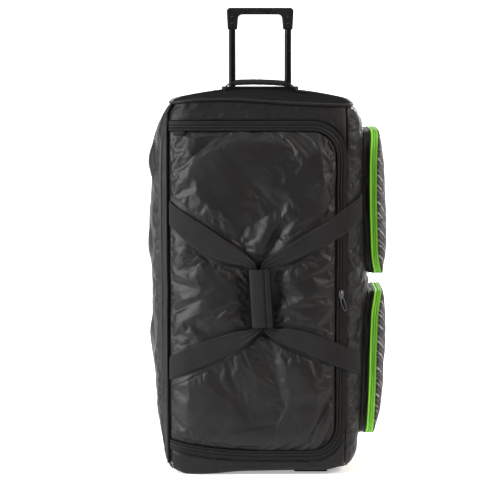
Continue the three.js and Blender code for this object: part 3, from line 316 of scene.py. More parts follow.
def lid_puff(x, z):
    rims = (x - seam_x(-1, z), contour_right(z, 0) - x, contour_top(x, 0) - z, z - contour_bottom(x, 0))
    product = LID_PUFF
    for rim in rims:
        product = product * np.sin(0.5 * np.pi * clamp(rim / LID_PUFF_RIM))
    return product


def relief_at(x, y, z):
    ahead = smooth((-y / FRONT_DEPTH - 0.55) / 0.2)
    front_rise = fold_rise(FRONT_FOLDS, x, z) + lid_puff(x, z)
    side_rise = np.where(x < 0, fold_rise(LEFT_FOLDS, y, z), fold_rise(RIGHT_FOLDS, y, z))
    return ahead * front_rise + (1 - ahead) * side_rise


def shell_point(bearing, z, out):
    bearing, z, out = np.broadcast_arrays(*(np.asarray(value, float) for value in (bearing, z, out)))
    x, y, normal_x, normal_y = outline_at(bearing, z)
    stand = out + relief_at(x, y, z)
    return np.stack([x + normal_x * stand, y + normal_y * stand, z], -1)


def shell_normal(bearing, z):
    _, _, normal_x, normal_y = outline_at(np.asarray(bearing, float), np.asarray(z, float))
    return np.stack([normal_x, normal_y, np.zeros_like(normal_x)], -1)


def top_z(x, y):
    ahead = clamp((BACK_DEPTH - y) / (BACK_DEPTH + FRONT_DEPTH))
    across = x / HALF_WIDTH
    crown = 1 - 2.6 * across ** 2
    return BAG_HEIGHT + TOP_RISE * mix(crown, follow(EDGES, 1, across), ahead)


def top_edge(bearing):
    x, y, _, _ = outline_at(bearing, BAG_HEIGHT)
    return top_z(x, y) - 2 * SEAM_GAP


def bottom_edge(bearing):
    x, y, _, _ = outline_at(bearing, 0)
    ahead = clamp((BACK_DEPTH - y) / (BACK_DEPTH + FRONT_DEPTH))
    hem = HEM_DROP * follow(EDGES, 2, x / HALF_WIDTH)
    return mix(TRAY_LIFT, hem, ahead ** 2) + SEAM_GAP


def settle(across, up, start, end, low, high):
    across, up = np.broadcast_arrays(across, up)
    z = up * BAG_HEIGHT
    place = mix(start(z), end(z), across)
    for _ in range(6):
        z = mix(low(place), high(place), up)
        place = mix(start(z), end(z), across)
    return place, z


# Meshes
def run_of(path):
    """Distance from the start of a path to each of its points."""
    return np.concatenate([[0], np.cumsum(np.linalg.norm(np.diff(path, axis=0), axis=1))])


def read_at(stops, length, rows):
    """Rows of a path's points or directions, read at distances along it."""
    return np.stack([np.interp(stops, length, rows[:, axis]) for axis in range(rows.shape[1])], 1)


def looped(rows):
    return np.concatenate([rows, rows[:1]])


def unit(rows):
    return rows / np.maximum(np.linalg.norm(rows, axis=-1, keepdims=True), 1e-9)


def to_metres(points):
    return (np.asarray(points, float) + OFFSET) / 1000


def make_object(name, points, faces, material, slot, body="root", uv=None, replaces=()):
    mesh = bpy.data.meshes.new(name)
    mesh.from_pydata(to_metres(points).tolist(), [], [list(map(int, face)) for face in faces])
    mesh.validate()
    if uv is not None:
        layer = mesh.uv_layers.new(name="cloth")
        corners = np.empty(len(mesh.loops), int)
        mesh.loops.foreach_get("vertex_index", corners)
        layer.data.foreach_set("uv", (np.asarray(uv, float)[corners] / 1000).ravel())
    mesh.polygons.foreach_set("use_smooth", [True] * len(mesh.polygons))
    mesh.materials.append(material)
    thing = bpy.data.objects.new(name, mesh)
    bpy.context.scene.collection.objects.link(thing)
    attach(thing, body)
    if replaces:
        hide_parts(*replaces)
    return thing


def spread(points):
    """Distances along the rows and the columns of a grid of points, for its cloth map."""
    along = np.linalg.norm(np.diff(points, axis=1), axis=2)
    up = np.linalg.norm(np.diff(points, axis=0), axis=2)
    u = np.concatenate([np.zeros((points.shape[0], 1)), np.cumsum(along, 1)], 1)
    v = np.concatenate([np.zeros((1, points.shape[1])), np.cumsum(up, 0)], 0)
    return u, v


def rim_distance(points):
    u, v = spread(points)
    sides = (u, u[:, -1:] - u, v, v[-1:] - v)
    return np.minimum.reduce([np.broadcast_to(side, u.shape) for side in sides])


def grid_normals(points, ring=False):
    if ring:
        across = np.roll(points, -1, 1) - np.roll(points, 1, 1)
    else:
        across = np.gradient(points, axis=1)
    up = np.gradient(points, axis=0)
    normal = np.cross(across, up)
    return unit(normal)


def wall_faces(rows, columns, ring):
    """Faces of a wall between an outer and an inner grid, closed round its rims."""
    spans = columns if ring else columns - 1
    row, column = np.meshgrid(np.arange(rows - 1), np.arange(spans), indexing="ij")
    row, column = row.ravel(), column.ravel()
    after = (column + 1) % columns
    size = rows * columns
    outer = np.stack([row * columns + column, row * columns + after,
                      (row + 1) * columns + after, (row + 1) * columns + column], 1)
    faces = [outer, outer[:, ::-1] + size]
    edge = np.arange(spans)
    nxt = (edge + 1) % columns
    top = (rows - 1) * columns
    faces.append(np.stack([nxt, edge, edge + size, nxt + size], 1))
    faces.append(np.stack([top + edge, top + nxt, top + nxt + size, top + edge + size], 1))
    if not ring:
        side = np.arange(rows - 1) * columns
        last = side + columns - 1
        faces.append(np.stack([side, side + columns, side + columns + size, side + size], 1))
        faces.append(np.stack([last + columns, last, last + size, last + columns + size], 1))
    return np.concatenate(faces)


def wall(name, outer, inner, material, slot, ring=False, uv=None, **rest):
    rows, columns = outer.shape[:2]
    if uv is None:
        u, v = spread(outer)
        uv = np.stack([u, v], -1)
    points = np.concatenate([outer.reshape(-1, 3), inner.reshape(-1, 3)])
    flat = np.concatenate([uv.reshape(-1, 2)] * 2)
    faces = wall_faces(rows, columns, ring)
    faces = faces if volume_of(points, faces) > 0 else faces[:, ::-1]
    return make_object(name, points, faces, material, slot, uv=flat, **rest)


def volume_of(points, faces):
    first, second, third, fourth = (points[faces[:, index]] for index in range(4))
    whole = np.einsum("ij,ij->i", first, np.cross(second, third))
    whole = whole + np.einsum("ij,ij->i", first, np.cross(third, fourth))
    return whole.sum()


def round_path(first, second, turn):
    """Directions round a path, between its two directions across, at each angle."""
    return first[:, None] * np.cos(turn)[None, :, None] + second[:, None] * np.sin(turn)[None, :, None]


def ring_faces(rings, sides, joined=False):
    """Faces between rings of points; joined closes the last ring to the first."""
    spans = rings if joined else rings - 1
    ring, side = np.meshgrid(np.arange(spans), np.arange(sides), indexing="ij")
    ring, side = ring.ravel(), side.ravel()
    nxt, after = (ring + 1) % rings, (side + 1) % sides
    return np.stack([ring * sides + side, ring * sides + after, nxt * sides + after, nxt * sides + side], 1)


def closed_faces(points, rings, sides, capped=True):
    """Faces of a solid made of rings, facing outwards."""
    faces = ring_faces(rings, sides, not capped)
    caps = [np.arange(sides)[::-1], (rings - 1) * sides + np.arange(sides)] if capped else []
    turned = volume_of(points, faces) < 0
    return [list(face[::-1] if turned else face) for face in [*faces, *caps]]


def tube(name, path, frames, radii, sides, material, slot, joined=False, squash=1.0, **rest):
    """A round solid along a path. frames holds the two directions across it at each place."""
    path = np.asarray(path, float)
    turn = np.arange(sides) / sides * 2 * np.pi
    radii = np.broadcast_to(np.asarray(radii, float), (len(path),))
    first, second = frames
    turned = round_path(first, squash * second, turn)
    points = path[:, None] + radii[:, None, None] * turned
    points = points.reshape(-1, 3)
    faces = closed_faces(points, len(path), sides, not joined)
    flat = np.stack(np.broadcast_arrays(turn[None] * radii.mean(), run_of(path)[:, None]), -1)
    return make_object(name, points, faces, material, slot, uv=flat.reshape(-1, 2), **rest)


def path_frames(path, away, joined=False):
    """Across and outward directions for a path that lies on a surface with normals away."""
    path = np.asarray(path, float)
    along = np.roll(path, -1, 0) - np.roll(path, 1, 0) if joined else np.gradient(path, axis=0)
    along = unit(along)
    aside = unit(np.cross(along, away))
    return aside, np.cross(aside, along)


STITCHES = {}
STITCH_RINGS = 5
STITCH_SIDES = 4


def stitches(path, away, pitch=4.2, size=3.0, radius=0.34, group="seam"):
    """Lays a row of stitches along a path on cloth. All rows of a group become one piece."""
    path = np.asarray(path, float)
    length = run_of(path)
    away = np.broadcast_to(np.asarray(away, float), path.shape)
    for start in np.arange(0.5 * pitch, length[-1] - size, pitch):
        stops = start + size * np.array([0, 0.2, 0.5, 0.8, 1])
        middle, normal = read_at(stops, length, path), read_at(stops, length, away)
        aside = unit(np.cross(unit(middle[-1] - middle[0]), normal[2]))
        middle = middle + normal * (radius * np.array([-0.7, 0.5, 0.9, 0.5, -0.7]))[:, None]
        turn = (np.arange(STITCH_SIDES) + 0.5) / STITCH_SIDES * 2 * np.pi
        grow = radius * np.array([0.45, 1, 1, 1, 0.45])
        ring = middle[:, None] + grow[:, None, None] * round_path(aside[None], normal, turn)
        STITCHES.setdefault(group, []).append(ring.reshape(-1, 3))


def finish_stitches(material, slot, body="root"):
    ends = (STITCH_RINGS - 1) * STITCH_SIDES
    caps = np.stack([np.arange(STITCH_SIDES)[::-1], ends + np.arange(STITCH_SIDES)])
    one = np.concatenate([ring_faces(STITCH_RINGS, STITCH_SIDES), caps])
    for group, rows in STITCHES.items():
        starts = np.arange(len(rows)) * STITCH_RINGS * STITCH_SIDES
        faces = (starts[:, None, None] + one).reshape(-1, 4)
        make_object(f"{group}_stitches", np.concatenate(rows), faces, material, slot, body=body)


# Materials
class Nodes:
    """A short way to write a material's nodes."""

    def __init__(self, name):
        self.material = bpy.data.materials.new(name)
        self.material.use_nodes = True
        self.tree = self.material.node_tree
        self.shader = self.tree.nodes["Principled BSDF"]

    def add(self, kind, **settings):
        node = self.tree.nodes.new(kind)
        for key, value in settings.items():
            setattr(node, key, value)
        return node

    def link(self, source, target):
        self.tree.links.new(source, target)

    def place(self, kind="Object", scale=(1, 1, 1), turn=0.0):
        source = self.add("ShaderNodeTexCoord").outputs[kind]
        mapping = self.add("ShaderNodeMapping")
        mapping.inputs["Scale"].default_value = scale
        mapping.inputs["Rotation"].default_value = (0, 0, turn)
        self.link(source, mapping.inputs["Vector"])
        return mapping.outputs["Vector"]

    def noise(self, vector, scale, detail=3.0, distort=0.0):
        node = self.add("ShaderNodeTexNoise")
        node.inputs["Scale"].default_value = scale
        node.inputs["Detail"].default_value = detail
        node.inputs["Distortion"].default_value = distort
        self.link(vector, node.inputs["Vector"])
        return node.outputs["Fac"]

    def waves(self, vector, pitch, axis="X", distort=0.0, detail_scale=1.0):
        node = self.add("ShaderNodeTexWave", bands_direction=axis)
        node.inputs["Scale"].default_value = 0.31416 / pitch
        node.inputs["Distortion"].default_value = distort
        node.inputs["Detail Scale"].default_value = detail_scale
        self.link(vector, node.inputs["Vector"])
        return node.outputs["Fac"]

    def math(self, operation, first, second=None):
        node = self.add("ShaderNodeMath", operation=operation)
        for index, value in enumerate((first, second)):
            if value is None:
                continue
            if isinstance(value, (int, float)):
                node.inputs[index].default_value = value
            else:
                self.link(value, node.inputs[index])
        return node.outputs[0]

    def ramp(self, source, stops):
        node = self.add("ShaderNodeValToRGB")
        elements = node.color_ramp.elements
        while len(elements) < len(stops):
            elements.new(0.5)
        for element, (place, colour) in zip(elements, stops):
            element.position = place
            element.color = (*colour, 1)
        self.link(source, node.inputs["Fac"])
        return node.outputs["Color"]

    def span(self, source, low, high, start=0.0, end=1.0):
        """Carries a value that goes from start to end over to one from low to high."""
        node = self.add("ShaderNodeMapRange")
        for label, value in (("From Min", start), ("From Max", end), ("To Min", low), ("To Max", high)):
            node.inputs[label].default_value = value
        self.link(source, node.inputs["Value"])
        return node.outputs["Result"]

    def bump(self, height, distance, strength=1.0, under=None):
        node = self.add("ShaderNodeBump")
        node.inputs["Distance"].default_value = distance
        node.inputs["Strength"].default_value = strength
        self.link(height, node.inputs["Height"])
        if under is not None:
            self.link(under, node.inputs["Normal"])
        return node.outputs["Normal"]

    def finish(self, colour=None, roughness=None, normal=None, **sockets):
        for key, source in (("Base Color", colour), ("Roughness", roughness), ("Normal", normal)):
            if source is None:
                continue
            if isinstance(source, (int, float)):
                self.shader.inputs[key].default_value = source
            elif isinstance(source, tuple):
                self.shader.inputs[key].default_value = (*source, 1)
            else:
                self.link(source, self.shader.inputs[key])
        for key, value in sockets.items():
            self.shader.inputs[key.replace("_", " ")].default_value = value
        return self.material


def nylon(name, dark, light, rough_low, rough_high, gloss=0.5, sheen=0.02, pitch=0.0007, depth=0.00006):
    n = Nodes(name)
    flat = n.place("UV")
    solid = n.place("Object")
    twill = n.place("UV", turn=math.radians(45))
    weave = n.math("MULTIPLY", n.waves(flat, pitch, "X"), n.waves(flat, pitch, "Y"))
    slant = n.waves(twill, 2.6 * pitch, "X", 0.4, 4)
    threads = n.math("ADD", weave, n.math("MULTIPLY", slant, 0.4))
    broad = n.noise(solid, 9, 4, 0.3)
    fine = n.noise(solid, 260, 3)
    colour = n.ramp(n.math("ADD", n.math("MULTIPLY", broad, 0.7), n.math("MULTIPLY", threads, 0.25)), [
        (0.2, dark), (0.85, light)])
    roughness = n.span(n.math("ADD", n.math("MULTIPLY", broad, 0.6), n.math("MULTIPLY", fine, 0.4)),
                       rough_low, rough_high)
    crumple = n.bump(n.noise(solid, 30, 3, 0.4), 0.0014, 0.28)
    normal = n.bump(fine, 0.0003, 0.5, n.bump(threads, depth, 1.0, crumple))
    return n.finish(colour, roughness, normal, Sheen_Weight=sheen, Sheen_Roughness=0.4,
                    Specular_IOR_Level=gloss)


def webbing_material(name, dark, light, pitch=0.0021):
    n = Nodes(name)
    flat = n.place("UV")
    solid = n.place("Object")
    ribs = n.waves(flat, pitch, "Y", 0.5, 3)
    cross = n.waves(flat, 1.3 * pitch, "X", 0.6, 3)
    threads = n.math("ADD", ribs, n.math("MULTIPLY", cross, 0.8))
    fuzz = n.noise(solid, 700, 3)
    broad = n.noise(solid, 22, 3)
    shade = n.math("ADD", n.math("MULTIPLY", threads, 0.35), n.math("MULTIPLY", broad, 0.4))
    colour = n.ramp(shade, [(0.15, dark), (0.85, light)])
    normal = n.bump(fuzz, 0.0004, 0.6, n.bump(threads, 0.00035, 1.0))
    return n.finish(colour, n.span(fuzz, 0.72, 0.9), normal, Sheen_Weight=0.04, Sheen_Roughness=0.5,
                    Specular_IOR_Level=0.14)


def tape_material(name, dark, light, roughness=0.6, pitch=0.0011, lines=0.0, gloss=0.4):
    n = Nodes(name)
    flat = n.place("UV")
    solid = n.place("Object")
    ribs = n.waves(flat, pitch, "Y", 0.3, 3)
    rows = n.waves(flat, 1.6 * pitch, "X", 0.2, 3)
    threads = n.math("ADD", n.math("MULTIPLY", ribs, 0.5), n.math("MULTIPLY", rows, 0.5))
    broad = n.noise(solid, 40, 3)
    shade = n.math("ADD", n.math("MULTIPLY", threads, 0.5), n.math("MULTIPLY", broad, 0.4))
    if lines:
        along = n.waves(n.place("UV"), 0.0051, "X")
        shade = n.math("ADD", n.math("MULTIPLY", shade, 1 - lines), n.math("MULTIPLY", along, lines))
    colour = n.ramp(shade, [(0.15, dark), (0.8, light)])
    normal = n.bump(threads, 0.0002, 0.8)
    return n.finish(colour, n.span(broad, roughness - 0.08, roughness + 0.08), normal, Sheen_Weight=0.02,
                    Specular_IOR_Level=gloss)


def striped_material(name):
    """Black cloth with slanted stripes, pale grey and lilac brown by turns, some broken."""
    n = Nodes(name)
    slant = math.radians(32)
    flat = n.place("UV", turn=slant)
    solid = n.place("Object")
    bands = n.waves(flat, 0.0095, "Y", 0.35, 0.6)
    tones = n.waves(flat, 0.0245, "Y", 0.8, 0.5)
    gaps = n.noise(n.place("UV", scale=(24, 150, 1), turn=slant), 1.0, 1)
    stripe = n.ramp(bands, [(0.42, (0, 0, 0)), (0.62, (1, 1, 1))])
    whole = n.ramp(gaps, [(0.38, (0, 0, 0)), (0.46, (1, 1, 1))])
    amount = n.math("MULTIPLY", stripe, whole)
    tint = n.ramp(tones, [(0.5, (0.05, 0.037, 0.045)), (0.75, (0.21, 0.21, 0.225))])
    blend = n.add("ShaderNodeMix", data_type="RGBA")
    n.link(amount, blend.inputs[0])
    blend.inputs[6].default_value = (0.006, 0.0052, 0.0056, 1)
    n.link(tint, blend.inputs[7])
    mesh = n.math("MULTIPLY", n.waves(n.place("UV"), 0.0016, "X"), n.waves(n.place("UV"), 0.0016, "Y"))
    normal = n.bump(mesh, 0.00025, 0.9, n.bump(n.noise(solid, 40, 3), 0.0015, 0.4))
    return n.finish(blend.outputs[2], 0.68, normal, Specular_IOR_Level=0.22)


def plastic(name, base, rough_low, rough_high, grain=0.00012):
    n = Nodes(name)
    solid = n.place("Object")
    pebble = n.noise(solid, 1400, 2)
    wear = n.noise(solid, 30, 5, 0.5)
    worn = tuple(value * 2.2 for value in base)
    colour = n.ramp(wear, [(0.45, base), (0.8, worn)])
    normal = n.bump(pebble, grain, 0.7)
    return n.finish(colour, n.span(wear, rough_low, rough_high), normal, Specular_IOR_Level=0.12)


def coated_tube(name, base):
    n = Nodes(name)
    drawn = n.noise(n.place("Object", scale=(900, 900, 9)), 1, 3)
    scuff = n.noise(n.place("Object"), 60, 5, 0.4)
    colour = n.ramp(scuff, [(0.5, base), (0.85, tuple(value * 3 for value in base))])
    normal = n.bump(drawn, 0.00004, 0.5)
    return n.finish(colour, n.span(scuff, 0.3, 0.46), normal, Metallic=0.6,
                    Specular_IOR_Level=0.08)


def metal(name, base, rough_low, rough_high):
    n = Nodes(name)
    scuff = n.noise(n.place("Object"), 420, 4)
    colour = n.ramp(scuff, [(0.3, tuple(value * 0.75 for value in base)), (0.7, base)])
    return n.finish(colour, n.span(scuff, rough_low, rough_high), n.bump(scuff, 0.00005, 0.5), Metallic=1.0)


def rubber(name):
    n = Nodes(name)
    solid = n.place("Object")
    dust = n.noise(solid, 70, 5, 0.3)
    colour = n.ramp(dust, [(0.4, (0.009, 0.009, 0.009)), (0.8, (0.035, 0.033, 0.03))])
    normal = n.bump(n.noise(solid, 900, 2), 0.0002, 0.6)
    return n.finish(colour, n.span(dust, 0.65, 0.9), normal)


SHELL = nylon("shell_nylon", (0.0042, 0.0039, 0.0041), (0.0095, 0.009, 0.0094), 0.40, 0.52, 0.26)
BORDER = nylon("border_nylon", (0.004, 0.0038, 0.004), (0.009, 0.0086, 0.009), 0.44, 0.58, 0.2)
TOP_CLOTH = nylon("top_nylon", (0.007, 0.0068, 0.007), (0.017, 0.0164, 0.017), 0.6, 0.72, 0.0, 0.004)
TAPE = tape_material("zip_tape", (0.0035, 0.0034, 0.0036), (0.0095, 0.0093, 0.0096), gloss=0.12)
COIL = tape_material("zip_coil", (0.004, 0.004, 0.004), (0.012, 0.012, 0.0125), 0.42, 0.0013, gloss=0.2)
GREEN = tape_material("green_tape", (0.09, 0.4, 0.006), (0.33, 0.8, 0.06), 0.58, lines=0.55)
GREEN_COIL = tape_material("green_coil", (0.09, 0.4, 0.008), (0.3, 0.78, 0.07), 0.4, 0.0013)
WEBBING = webbing_material("webbing", (0.005, 0.0049, 0.0052), (0.019, 0.0185, 0.0195))
STRIPED = striped_material("striped_cloth")
THREAD = tape_material("thread", (0.012, 0.012, 0.013), (0.04, 0.04, 0.042), 0.55, 0.0006)
PLASTIC = plastic("moulded_plastic", (0.0055, 0.0055, 0.006), 0.36, 0.52)
TUBING = coated_tube("black_tubing", (0.006, 0.006, 0.007))
METAL = metal("satin_metal", (0.16, 0.16, 0.17), 0.24, 0.42)
DARK_METAL = metal("blackened_metal", (0.03, 0.03, 0.032), 0.3, 0.45)
RUBBER = rubber("wheel_rubber")


# Creases too small for the solids. In millimetres: x (or y), z, length, width, turn, rise.
LID_CREASES = [
    (-26, 512, 26, 11, 16, 2.2), (-6, 494, 30, 10, 6, -2.2), (14, 500, 30, 10, 22, 2.0),
    (38, 498, 30, 10, 38, -2.2), (58, 512, 34, 11, 50, 1.8), (-52, 505, 26, 11, -30, -1.8),
    (6, 540, 40, 13, 66, -2.6), (44, 536, 30, 12, 58, 1.8), (-28, 546, 30, 13, -64, 1.8),
    (-92, 540, 60, 9, -52, 2.2), (-120, 470, 55, 9, -30, -2.4), (-70, 470, 50, 10, -34, 2.4),
    (-160, 418, 34, 7, -64, 2.8), (-164, 400, 30, 6, -72, -2.6), (-150, 372, 40, 7, 74, 2.8),
    (-162, 350, 36, 7, 62, -2.6), (-130, 340, 44, 9, 66, 2.4), (-120, 385, 40, 10, 56, -2.6),
    (-96, 330, 34, 9, 46, -2.2), (-70, 345, 44, 9, 60, 2.4), (-44, 352, 34, 8, 50, -2.2),
    (60, 420, 44, 12, 20, 2.2), (50, 372, 40, 12, -30, -2.4), (84, 372, 46, 12, 60, 2.0),
    (104, 418, 44, 11, 72, -2.0), (128, 440, 40, 9, 60, 1.8), (126, 560, 34, 6, 44, 2.0),
    (136, 584, 30, 6, 50, -2.2), (128, 610, 34, 6, 52, 2.0), (138, 632, 28, 6, 48, -2.0),
    (134, 654, 28, 7, 40, 1.8), (-156, 620, 50, 10, -20, 1.6), (-140, 660, 40, 10, 50, -1.6),
    (-70, 640, 70, 16, 64, 1.6), (10, 660, 60, 14, 76, -1.6), (70, 640, 60, 14, 60, 1.6),
    (-150, 240, 46, 12, 70, -1.8), (-140, 215, 50, 11, 62, 1.8), (-60, 210, 90, 16, 8, -2.4),
    (-24, 190, 90, 16, 10, 2.0), (40, 170, 70, 12, 84, 1.8), (60, 150, 70, 12, 80, -1.8),
    (96, 190, 60, 12, 40, 1.8), (-130, 120, 50, 10, 52, 2.0), (-112, 96, 40, 8, 60, -2.2),
    (-60, 92, 50, 9, 76, 1.8), (0, 110, 60, 10, 82, -1.6), (80, 96, 50, 10, 68, 1.6),
    (124, 130, 40, 9, 30, -1.8), (130, 250, 50, 10, 12, 1.8), (130, 320, 50, 9, 20, -1.8),
]
LEFT_CREASES = [
    (-120, 640, 60, 8, 24, 3.2), (-96, 600, 56, 9, 16, -3.0), (-130, 560, 50, 8, -12, 2.8),
    (-110, 500, 60, 9, 20, -2.8), (-128, 450, 44, 8, -24, 2.8), (-100, 420, 60, 10, 30, -2.8),
    (-126, 360, 44, 8, -18, 2.8), (-104, 310, 56, 9, 22, -2.8), (-126, 260, 44, 8, -24, 2.6),
    (-96, 210, 56, 9, 26, -2.6), (-120, 150, 44, 9, -20, 2.4), (-80, 110, 56, 10, 34, -2.2),
    (-60, 680, 60, 12, -40, 2.4), (20, 560, 90, 14, 30, -2.6), (60, 480, 80, 12, -24, 2.6),
    (-20, 380, 80, 14, 40, 2.4), (40, 300, 80, 13, -34, -2.4), (100, 380, 70, 12, 20, 2.4),
    (120, 220, 60, 11, -30, -2.2), (0, 180, 80, 13, 52, 2.2), (110, 620, 60, 11, 34, -2.2),
]
RIGHT_CREASES = [
    (-150, 660, 44, 8, -24, 3.0), (-140, 620, 40, 7, 30, -3.0), (-156, 580, 40, 8, -20, 2.6),
    (-146, 470, 40, 7, 26, -2.8), (-154, 420, 40, 8, -28, 3.0), (-140, 388, 40, 7, 34, -2.8),
    (-152, 350, 36, 7, -30, 2.8), (-144, 300, 44, 8, 24, -2.6), (-154, 240, 40, 8, -26, 2.6),
    (-144, 180, 40, 8, 30, -2.6), (-150, 120, 40, 8, -24, 2.2), (-60, 396, 60, 7, 84, 2.4),
    (20, 392, 60, 7, 96, -2.4), (120, 560, 70, 12, 20, 2.4), (134, 420, 60, 11, -24, -2.4),
    (128, 280, 60, 11, 26, 2.4), (110, 140, 60, 11, -34, -2.2), (0, 740, 60, 10, 70, 2.0),
]


def creases(rows, across, up):
    rise = 0.0
    for place, height, length, width, turn, size in rows:
        turn = math.radians(turn)
        aside, above = across - place, up - height
        along = above * math.cos(turn) + aside * math.sin(turn)
        over = aside * math.cos(turn) - above * math.sin(turn)
        over = over + 0.12 * width * np.sin(along / (0.4 * length))
        rise = rise + size * np.exp(-((along / length) ** 2) - np.abs(over / width) ** 1.7)
    return rise


def strap_line(rows, count=160):
    table, share = by_share(rows), np.linspace(0, 1, count)
    return (HALF_WIDTH * follow(table, 1, share), BAG_HEIGHT * follow(table, 2, share),
            WEBBING_WIDTH * follow(table, 3, share), GRIP_THICKNESS * follow(table, 4, share))


def under_straps(x, z):
    """1 in the open and 0 under a strap or the grip, which hold the cloth down."""
    nearest = np.full(np.shape(x), 1e3)
    for rows in (LEFT_STRAP, RIGHT_STRAP):
        path_x, path_z, width, _ = strap_line(rows, 90)
        for spot in range(len(path_x)):
            gap = np.hypot(x - path_x[spot], z - path_z[spot]) - 0.5 * width[spot]
            nearest = np.minimum(nearest, gap)
    grip = np.maximum(np.abs(x) - 0.5 * GRIP_WIDTH, np.abs(z - GRIP_HEIGHT) - 0.5 * GRIP_LENGTH)
    return smooth(np.minimum(nearest, grip) / 10)


def fine_relief(points, rows, axis, seed, level=1.0):
    """Creases and small puckers for a panel, fading out at its seams."""
    across, up = points[..., axis], points[..., 2]
    rim = rim_distance(points)
    u, v = spread(points)
    middle = smooth((rim - 2) / 16)
    rise = middle * level * creases(rows, across, up)
    rise = rise + middle * level * (0.9 * noise(u, v, 46, seed) + 0.45 * noise(u + 0.5 * v, v, 19, seed + 1))
    near = np.exp(-((rim - 9) / 9) ** 2) * smooth(rim / 4)
    rise = rise + near * (1.1 * noise(u, v, 15, seed + 2) + 0.6 * noise(u, v, 8, seed + 3))
    return rise


def seam_dip(points, depth=1.7):
    return -depth * (1 - smooth(rim_distance(points) / 6))


def swell(points, held, pressure=1.5, growth=0.02, cap=7.0, frames=20):
    """Cloth simulation: a pinned sheet that is a little too large puffs and wrinkles."""
    rows, columns = points.shape[:2]
    start = to_metres(points).reshape(-1, 3)
    row, column = np.meshgrid(np.arange(rows - 1), np.arange(columns - 1), indexing="ij")
    low = (row * columns + column).ravel()
    faces = np.stack([low, low + 1, low + columns + 1, low + columns], 1)
    mesh = bpy.data.meshes.new("swelling")
    mesh.from_pydata(start.tolist(), [], faces.tolist())
    sheet = bpy.data.objects.new("swelling", mesh)
    bpy.context.scene.collection.objects.link(sheet)
    pins = sheet.vertex_groups.new(name="held")
    weights = clamp(held).ravel()
    for index in np.nonzero(weights > 0.02)[0]:
        pins.add([int(index)], float(weights[index]), "REPLACE")
    modifier = sheet.modifiers.new("cloth", "CLOTH")
    settings = modifier.settings
    settings.quality = 5
    settings.mass = 0.25
    settings.tension_stiffness = settings.compression_stiffness = 14
    settings.shear_stiffness = 6
    settings.bending_stiffness = 0.35
    settings.air_damping = 2.5
    settings.vertex_group_mass = "held"
    settings.pin_stiffness = 4
    settings.shrink_min = -growth
    settings.use_pressure = True
    settings.uniform_pressure_force = pressure
    settings.effector_weights.gravity = 0
    modifier.collision_settings.use_collision = False
    modifier.point_cache.frame_start, modifier.point_cache.frame_end = 1, frames
    for step in range(1, frames + 1):
        bpy.context.scene.frame_set(step)
    depsgraph = bpy.context.evaluated_depsgraph_get()
    result = sheet.evaluated_get(depsgraph)
    found = np.empty(len(start) * 3)
    result.data.vertices.foreach_get("co", found)
    bpy.data.objects.remove(sheet)
    bpy.data.meshes.remove(mesh)
    bpy.context.scene.frame_set(1)
    move = (found.reshape(-1, 3) - start) * 1000
    size = np.linalg.norm(move, axis=1, keepdims=True)
    move = move * np.minimum(1, cap / np.maximum(size, 1e-6))
    return points + move.reshape(points.shape) * (1 - clamp(held))[..., None]


def panel(name, bearing, z, rows, axis, material, seed, hold=None, level=1.0,
          simulate=None, slot="shell_cloth", dip=1.7):
    """One cloth panel of the shell, with folds, puckers and rolled seams."""
    base = shell_point(bearing, z, 0)
    free = np.ones(z.shape) if hold is None else hold(base)
    out = fine_relief(base, rows, axis, seed, level) * free + seam_dip(base, dip)
    out = np.clip(out, *RELIEF_LIMITS)
    outer = shell_point(bearing, z, out)
    if simulate:
        held = np.maximum(1 - smooth((rim_distance(outer) - 1) / 8), 1 - free)
        outer = swell(outer, held, **simulate)
    normal = grid_normals(outer)
    away = shell_normal(bearing, z)
    normal = normal * np.sign((normal * away).sum(-1, keepdims=True))
    inner = outer - PANEL_WALL * normal
    thing = wall(name + "_cloth", outer, inner, material, slot, replaces=(name,))


def grid(columns, rows, crowd_up=False):
    across, up = np.meshgrid(np.linspace(0, 1, columns), np.linspace(0, 1, rows))
    return across, (crowd_ends(up) if crowd_up else up)


BORDER_ROOM = ZIP_WIDTH + 3 * SEAM_GAP
GAP_TURN = 2 * SEAM_GAP / BACK_DEPTH

# Panels of the front
across, up = grid(144, 256)
place, z = settle(across, up,
                  lambda z: seam_x(-1, z) + SEAM_GAP, lambda z: contour_right(z, -SEAM_GAP),
                  lambda x: contour_bottom(np.minimum(x, CORNER_X), -SEAM_GAP),
                  lambda x: LID_TOP - SEAM_GAP + 0 * x)
panel("lid_panel", front_bearing(place, z), z, LID_CREASES, 0, SHELL, 11,
      hold=lambda points: under_straps(points[..., 0], points[..., 2]),
      simulate={"pressure": 1.2, "growth": 0.035, "cap": 6.0})

across, up = grid(150, 26)
place, z = settle(across, up,
                  lambda z: seam_x(-1, z) + 3 * SEAM_GAP, lambda z: seam_x(1, z) - 3 * SEAM_GAP,
                  lambda x: contour_top(x, BORDER_ROOM), lambda x: top_edge(front_bearing(x, BAG_HEIGHT)))
panel("front_top_border", front_bearing(place, z), z, LID_CREASES, 0, BORDER, 23, slot="border_cloth",
      level=0.8)

place, z = settle(across, up,
                  lambda z: seam_x(-1, z) + 3 * SEAM_GAP, lambda z: seam_x(1, z) - 3 * SEAM_GAP,
                  lambda x: bottom_edge(front_bearing(x, 0)), lambda x: contour_bottom(x, BORDER_ROOM))
panel("front_bottom_border", front_bearing(place, z), z, LID_CREASES, 0, BORDER, 29, slot="border_cloth",
      level=0.6)

# Panels of the sides and the back
across, up = grid(10, 240, True)
bearing, z = settle(across, up,
                    lambda z: seam_bearing(-1, z) - STRIP_TURN + GAP_TURN,
                    lambda z: seam_bearing(-1, z) - 2 * GAP_TURN,
                    bottom_edge, top_edge)
panel("left_corner_strip", bearing, z, LEFT_CREASES, 1, BORDER, 31, slot="border_cloth",
      level=0.35, dip=1.2)

